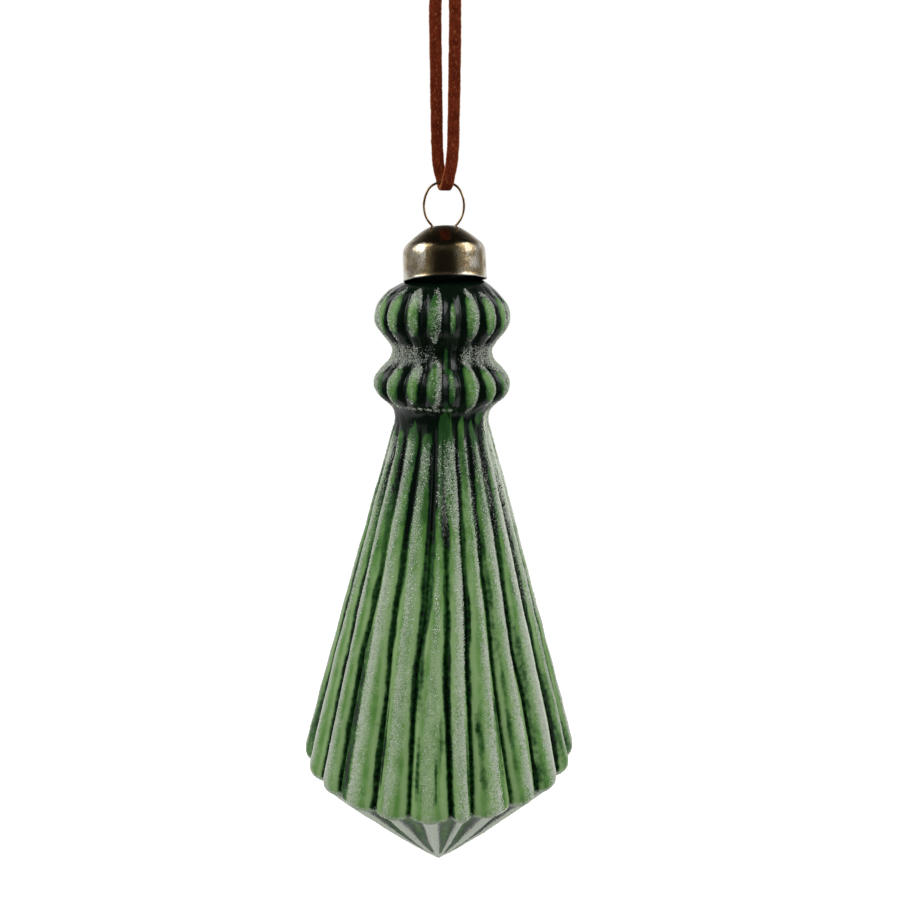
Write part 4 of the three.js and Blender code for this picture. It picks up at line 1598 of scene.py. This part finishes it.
    def outer_points(self, at: Surface) -> Array:
        """Outer points with the seam and the drip, before ribs and lobes are pressed in.

        Args:
            at: The laid out points.

        Returns:
            Their places in millimetres, one a row.
        """
        seam = bump(at.azimuth, self.look.seam_azimuth, 1.6) * between(at.depth, 73.0, 76.0, 110.0, 114.0)
        drop = bump(np.hypot(*self.look.drip.place(at)), 0.75, 0.55)
        radius = at.radius + seam * self.seam_height + drop * self.look.drip.strength
        slant = self.rim_slant * between(at.depth, 165.0, 201.0, 204.0, 238.0)
        slant = slant + self.neck_slant * (1 - ramp(at.depth, 71.0, 75.0))
        angle = np.radians(at.laid)
        return turned_points(radius, angle, at.height + slant * np.sin(angle))

    def mesh(self) -> bpy.types.Object:
        """Builds the smooth body, open at its mouth and closed at its tip, with all its fields."""
        at = self.lay_out()
        rows, around = at.laid.shape
        outer = self.outer_points(at)
        radius, height = np.array(self.hollow[1:]).T[..., None]
        inner = turned_points(radius, np.radians(at.laid[:1]), height)
        points = np.vstack([outer, [[0.0, 0.0, self.tip]], inner, [[0.0, 0.0, self.hollow[0][1]]]])
        ring = neighbours(around)
        rim, tip, start, end = (rows - 1) * around, len(outer), len(outer) + 1, len(points) - 1
        mouth = end - around
        faces = ring_faces(rows, around)
        faces += [(rim + i, tip, rim + j) for i, j in ring]
        faces += ring_faces(len(radius), around, start)
        faces += [(mouth + i, i, j, mouth + j) for i, j in ring]
        faces += [(start + j, end, start + i) for i, j in ring]
        body = new_piece("glass_blank", points, faces)
        inside = {"glaze": 1.0, "bright": 0.3}
        shares = {"rib_share": at.rib_share, "lobe_share": at.lobe_share}
        for name, values in {**self.reliefs(at), **self.look.fields(at), **shares}.items():
            rest = np.full(len(points) - len(outer), inside.get(name, 0.0))
            record(body, **{name: np.concatenate([values.ravel(), rest])})
        return body

    def press_tree(self) -> bpy.types.NodeTree:
        """Geometry Nodes that press ribs and lobes into the smooth body, as the mould does."""
        board, entry, exit_node = open_group(
            "pressed ribs and lobes",
            "GeometryNodeTree",
            {
                "Geometry": (SHAPE, None),
                "Rib Depth": (NUMBER, 1.0),
                "Lobe Depth": (NUMBER, 1.0),
                "Ripple Height": (NUMBER, 0.0),
                "Ripple Size": (NUMBER, 1.0),
                "Finish": (FINISH, None),
            },
            {"Geometry": SHAPE},
        )
        given = entry.outputs
        place = board.add("GeometryNodeInputPosition").outputs[0]
        apart = board.add("ShaderNodeSeparateXYZ", {0: place})
        level = board.add("ShaderNodeCombineXYZ", {0: apart.outputs[0], 1: apart.outputs[1]})
        outward = board.add("ShaderNodeVectorMath", {0: level.outputs[0]}, operation="NORMALIZE").outputs[0]

        def cut(form: str, scale: Socket) -> Socket:
            """Depth in metres that one form takes off a point."""
            half_turn = board.sum("MULTIPLY", board.carried(f"{form}_share"), math.pi)
            wave = board.sum("ABSOLUTE", board.sum("SINE", half_turn))
            share = board.sum("SUBTRACT", 1.0, board.sum("POWER", wave, board.carried(f"{form}_crisp")))
            depth = board.sum("MULTIPLY", share, board.carried(f"{form}_relief"))
            return board.sum("MULTIPLY", depth, board.sum("MULTIPLY", scale, MM))

        taken = board.sum("ADD", cut("rib", given["Rib Depth"]), cut("lobe", given["Lobe Depth"]))
        feeds = {"Vector": place, "Scale": board.sum("DIVIDE", 1.0, given["Ripple Size"]), "Detail": 1.0}
        ripple = board.add("ShaderNodeTexNoise", feeds).outputs[0]
        ripple = board.sum("MULTIPLY", board.sum("SUBTRACT", ripple, 0.5), given["Ripple Height"])
        reliefs = board.sum("ADD", board.carried("rib_relief"), board.carried("lobe_relief"))
        outside = board.sum("GREATER_THAN", reliefs, 0.01)
        move = board.sum("SUBTRACT", board.sum("MULTIPLY", ripple, outside), taken)
        offset = board.add("ShaderNodeVectorMath", {0: outward, 3: move}, operation="SCALE").outputs[0]
        pressed = board.add("GeometryNodeSetPosition", {"Geometry": given["Geometry"], "Offset": offset})
        return board.finish(pressed.outputs[0], given["Finish"], exit_node)

    def build(self, glaze: bpy.types.Material) -> bpy.types.Object:
        """Builds the pressed glass.

        Args:
            glaze: The glass's material.

        Returns:
            The glass's piece, with its fields.
        """
        blank = self.mesh()
        values = {
            "Rib Depth": 1.0,
            "Lobe Depth": 1.0,
            "Ripple Height": self.ripple_height * MM,
            "Ripple Size": self.ripple_size * MM,
            "Finish": glaze,
        }
        piece = grown("frosted_glass", blank, self.press_tree(), values)
        bpy.data.objects.remove(blank)
        dress(piece, glaze, "glass", "glass", "glass_body")
        return piece


def grown(name: str, source: bpy.types.Object, tree: bpy.types.NodeTree, values: dict) -> bpy.types.Object:
    """Plain object made by a Geometry Nodes tree from another object.

    Args:
        name: Name of the new object.
        source: Object that the tree starts from.
        tree: The tree.
        values: Its inputs by name.

    Returns:
        The new object, with no modifier left on either.
    """
    modifier = source.modifiers.new(tree.name, "NODES")
    modifier.node_group = tree
    sockets = {item.name: item.identifier for item in tree.interface.items_tree if item.in_out == "INPUT"}
    for label, value in values.items():
        modifier[sockets[label]] = value
    evaluated = source.evaluated_get(bpy.context.evaluated_depsgraph_get())
    mesh = bpy.data.meshes.new_from_object(evaluated)
    source.modifiers.remove(modifier)
    mesh.name = name
    mesh.shade_smooth()
    obj = bpy.data.objects.new(name, mesh)
    bpy.context.scene.collection.objects.link(obj)
    return obj


@dataclass
class SugarFrost:
    """Loose grains strewn over the frosted places of the glass, one piece for each zone."""

    amounts: tuple[tuple[Zone, float, float], ...] = (
        (Zone.BULGES, 6.5, 0.21),
        (Zone.CONE_UPPER, 3.2, 0.24),
        (Zone.CONE_LOWER, 0.8, 0.22),
        (Zone.UNDERSIDE, 0.6, 0.22),
    )
    turn_most: float = 6.28
    least_stretch: float = 0.45
    most_stretch: float = 1.1

    def tree(self) -> bpy.types.NodeTree:
        """Geometry Nodes that strew crystals where the glass carries frost between two heights."""
        board, entry, exit_node = open_group(
            "strewn crystals",
            "GeometryNodeTree",
            {
                "Geometry": (SHAPE, None),
                "Top": (NUMBER, 0.0),
                "Foot": (NUMBER, 0.0),
                "Grains per Square Metre": (NUMBER, 1e6),
                "Grain Size": (NUMBER, 0.0003),
                "Seed": (WHOLE, 0),
                "Finish": (FINISH, None),
            },
            {"Geometry": SHAPE},
        )
        given = entry.outputs
        place = board.add("GeometryNodeInputPosition").outputs[0]
        height = board.add("ShaderNodeSeparateXYZ", {0: place}).outputs[2]
        below = board.sum("LESS_THAN", height, given["Top"])
        above = board.sum("GREATER_THAN", height, given["Foot"])
        thick = board.step(board.carried("frost"), 0.35, 0.8)
        fullest = board.sum("MULTIPLY", thick, given["Grains per Square Metre"])
        density = board.sum("MULTIPLY", fullest, board.sum("MULTIPLY", below, above))
        strewn = board.add(
            "GeometryNodeDistributePointsOnFaces",
            {"Mesh": given["Geometry"], "Density": density, "Seed": given["Seed"]},
        )
        crystal = board.add("GeometryNodeMeshCube")

        def drawn(low: float, high: float, seed: Socket | int) -> Socket:
            """Random vector whose three numbers each lie from low to high."""
            feeds = {0: (low,) * 3, 1: (high,) * 3, 8: seed}
            return board.add("FunctionNodeRandomValue", feeds, data_type="FLOAT_VECTOR").outputs[0]

        turn = drawn(0.0, self.turn_most, given["Seed"])
        stretch = drawn(self.least_stretch, self.most_stretch, int(Seed.GRAIN_SHAPES))
        sized = {0: stretch, 3: given["Grain Size"]}
        size = board.add("ShaderNodeVectorMath", sized, operation="SCALE").outputs[0]
        laid = board.add(
            "GeometryNodeInstanceOnPoints",
            {"Points": strewn.outputs[0], "Instance": crystal.outputs[0], "Rotation": turn, "Scale": size},
        )
        return board.finish(laid.outputs[0], given["Finish"], exit_node)

    def build(self, glass: bpy.types.Object, crystal: bpy.types.Material) -> None:
        """Strews every zone.

        Args:
            glass: The glass, with its frost field.
            crystal: The grains' material.
        """
        tree = self.tree()
        for k, (zone, per_square_mm, size) in enumerate(self.amounts):
            top, foot = zone.value
            piece = grown(
                f"frost_{zone.name.lower()}", glass, tree,
                {
                    "Top": top * MM, "Foot": foot * MM, "Grains per Square Metre": per_square_mm / MM**2,
                    "Grain Size": size * MM, "Seed": Seed.GRAINS + k, "Finish": crystal,
                },
            )
            piece.data.polygons.foreach_set("use_smooth", np.zeros(len(piece.data.polygons), dtype=bool))
            for name in [layer.name for layer in piece.data.attributes if layer.data_type == "FLOAT"]:
                piece.data.attributes.remove(piece.data.attributes[name])
            dress(piece, crystal, "glass", "glass")


@dataclass
class Studio:
    """The photograph's camera, soft light, a pale floor and a white surround."""

    eye: Point = (2.29, -225.4, -64.0)
    pitch: float = 13.0
    roll: float = 0.566
    focal_pixels: float = 860.0
    frame_pixels: float = 900.0
    floor_height: float = -500.0
    floor_front: float = -100.0
    floor_back: float = 3500.0
    floor_half_width: float = 2000.0
    floor_lift: float = 0.75
    floor_shade: float = 0.6
    lamp_place: Point = (0.69, -0.15, 0.4)
    lamp_aim: Point = (0.0, 0.0, -0.14)
    lamp_size: tuple[float, float] = (0.6, 0.62)
    lamp_glow: float = 3.0
    fill_glow: float = 0.62
    side_glow: float = 0.42
    back_glow: float = 0.9
    upper_glow: float = 0.11

    def camera(self) -> None:
        """Sets the camera to the photograph's view."""
        data = bpy.data.cameras.new("photo camera")
        data.sensor_width = 36.0
        data.lens = self.focal_pixels / self.frame_pixels * data.sensor_width
        data.clip_start, data.clip_end = 0.01, 20.0
        camera = bpy.data.objects.new("photo camera", data)
        camera.location = [value * MM for value in self.eye]
        tilt = Euler((math.radians(90.0 - self.pitch), 0.0, 0.0)).to_matrix()
        camera.rotation_euler = (tilt @ Matrix.Rotation(math.radians(self.roll), 3, "Z")).to_euler()
        bpy.context.scene.collection.objects.link(camera)
        bpy.context.scene.camera = camera

    def lamp(self, side: Side) -> None:
        """Adds a soft box. Its place, aim and size are metres, a glow of 1 renders as white.

        Args:
            side: Side on which it stands.
        """
        data = bpy.data.lights.new(f"{side.name.lower()} soft box", "AREA")
        data.shape = "RECTANGLE"
        data.size, data.size_y = self.lamp_size
        data.energy = self.lamp_glow * math.pi * self.lamp_size[0] * self.lamp_size[1]
        lamp = bpy.data.objects.new(data.name, data)
        across, back, up = self.lamp_place
        lamp.location = (side.value * across, back, up)
        lamp.rotation_euler = (lamp.location - Vector(self.lamp_aim)).to_track_quat("Z", "Y").to_euler()
        bpy.context.scene.collection.objects.link(lamp)

    def world(self) -> None:
        """White surround for the camera, with a dark side in front for the gloss, as in a studio."""
        world = bpy.data.worlds.new("white tent")
        world.use_nodes = True
        board = Board(world.node_tree)
        rays = board.add("ShaderNodeLightPath")
        towards = board.add("ShaderNodeTexCoord").outputs["Generated"]
        _, back, up = board.add("ShaderNodeSeparateXYZ", {0: towards}).outputs
        sides = board.step(back, -0.9, -0.6, 0.02, self.side_glow)
        backdrop = board.step(back, 0.3, 0.7, 0.0, self.back_glow)
        gloss = board.sum("MAXIMUM", sides, backdrop)
        gloss = board.sum("MULTIPLY", gloss, board.step(up, -0.45, 0.0, 0.1, 1.0))
        gloss = board.sum("MULTIPLY", gloss, board.step(up, 0.25, 0.6, 1.0, 0.03))
        above = board.sum("MULTIPLY", board.step(up, 0.3, 0.45), board.step(up, 0.6, 0.78, 1.0, 0.0))
        gloss = board.sum("MULTIPLY_ADD", above, self.upper_glow, gloss)
        diffuse = board.sum("MULTIPLY", rays.outputs["Is Diffuse Ray"], self.fill_glow)
        level = board.sum("MAXIMUM", diffuse, board.sum("MULTIPLY", gloss, rays.outputs["Is Glossy Ray"]))
        seen = board.sum("MAXIMUM", rays.outputs["Is Camera Ray"], rays.outputs["Is Transmission Ray"])
        strength = board.sum("MAXIMUM", seen, level)
        tent = board.add("ShaderNodeBackground", {"Color": WHITE, "Strength": strength})
        board.add("ShaderNodeOutputWorld", {"Surface": tent.outputs[0]})
        bpy.context.scene.world = world

    def floor(self) -> None:
        """Adds a pale floor, lifted to white for the camera, on which a shadow still shows."""
        half, front, back = self.floor_half_width, self.floor_front, self.floor_back
        corners = ((-half, front), (half, front), (half, back), (-half, back))
        points = np.array([(x, y, self.floor_height) for x, y in corners])
        floor = new_piece("floor", points, [(0, 1, 2, 3)])
        material = bpy.data.materials.new("pale floor")
        material.use_nodes = True
        board = Board(material.node_tree)
        camera_ray = board.add("ShaderNodeLightPath").outputs["Is Camera Ray"]
        seen = board.sum("MULTIPLY", camera_ray, self.floor_lift)
        matt = board.add("ShaderNodeBsdfDiffuse", {"Color": opaque((self.floor_shade,) * 3)})
        lift = board.add("ShaderNodeEmission", {"Color": WHITE, "Strength": seen})
        lit = board.add("ShaderNodeAddShader", {0: matt.outputs[0], 1: lift.outputs[0]})
        board.add("ShaderNodeOutputMaterial", {"Surface": lit.outputs[0]})
        floor.data.materials.append(material)

    def build(self) -> None:
        """Builds the whole studio."""
        self.camera()
        self.world()
        self.floor()
        for side in (Side.LEFT, Side.RIGHT):
            self.lamp(side)
        bpy.context.scene.view_settings.view_transform = "Standard"


def main() -> None:
    """Builds the studio and every piece."""
    logging.basicConfig(level=logging.INFO, format="%(message)s")
    Studio().build()
    effects = ShaderEffects.build()
    suede = Suede().build(effects)
    lace = SuedeLace()
    lace.build(suede, LaceKnot().build(lace, suede))
    wire_colours = ((0.80, 0.60, 0.36), (0.42, 0.25, 0.12), (0.14, 0.06, 0.03))
    HangerWire().build(AgedBrass("wire brass", *wire_colours, 1.2).build(effects))
    cap_colours = ((0.66, 0.625, 0.54), (0.40, 0.322, 0.175), (0.155, 0.098, 0.042))
    PressedCap().build(AgedBrass("cap brass", *cap_colours, 1.5, 0.14, 0.27).build(effects))
    glass = GlassDrop().build(FrostedGlaze().build(effects))
    SugarFrost().build(glass, FrostCrystal().build())
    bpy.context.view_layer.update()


if __name__ == "__main__":
    main()
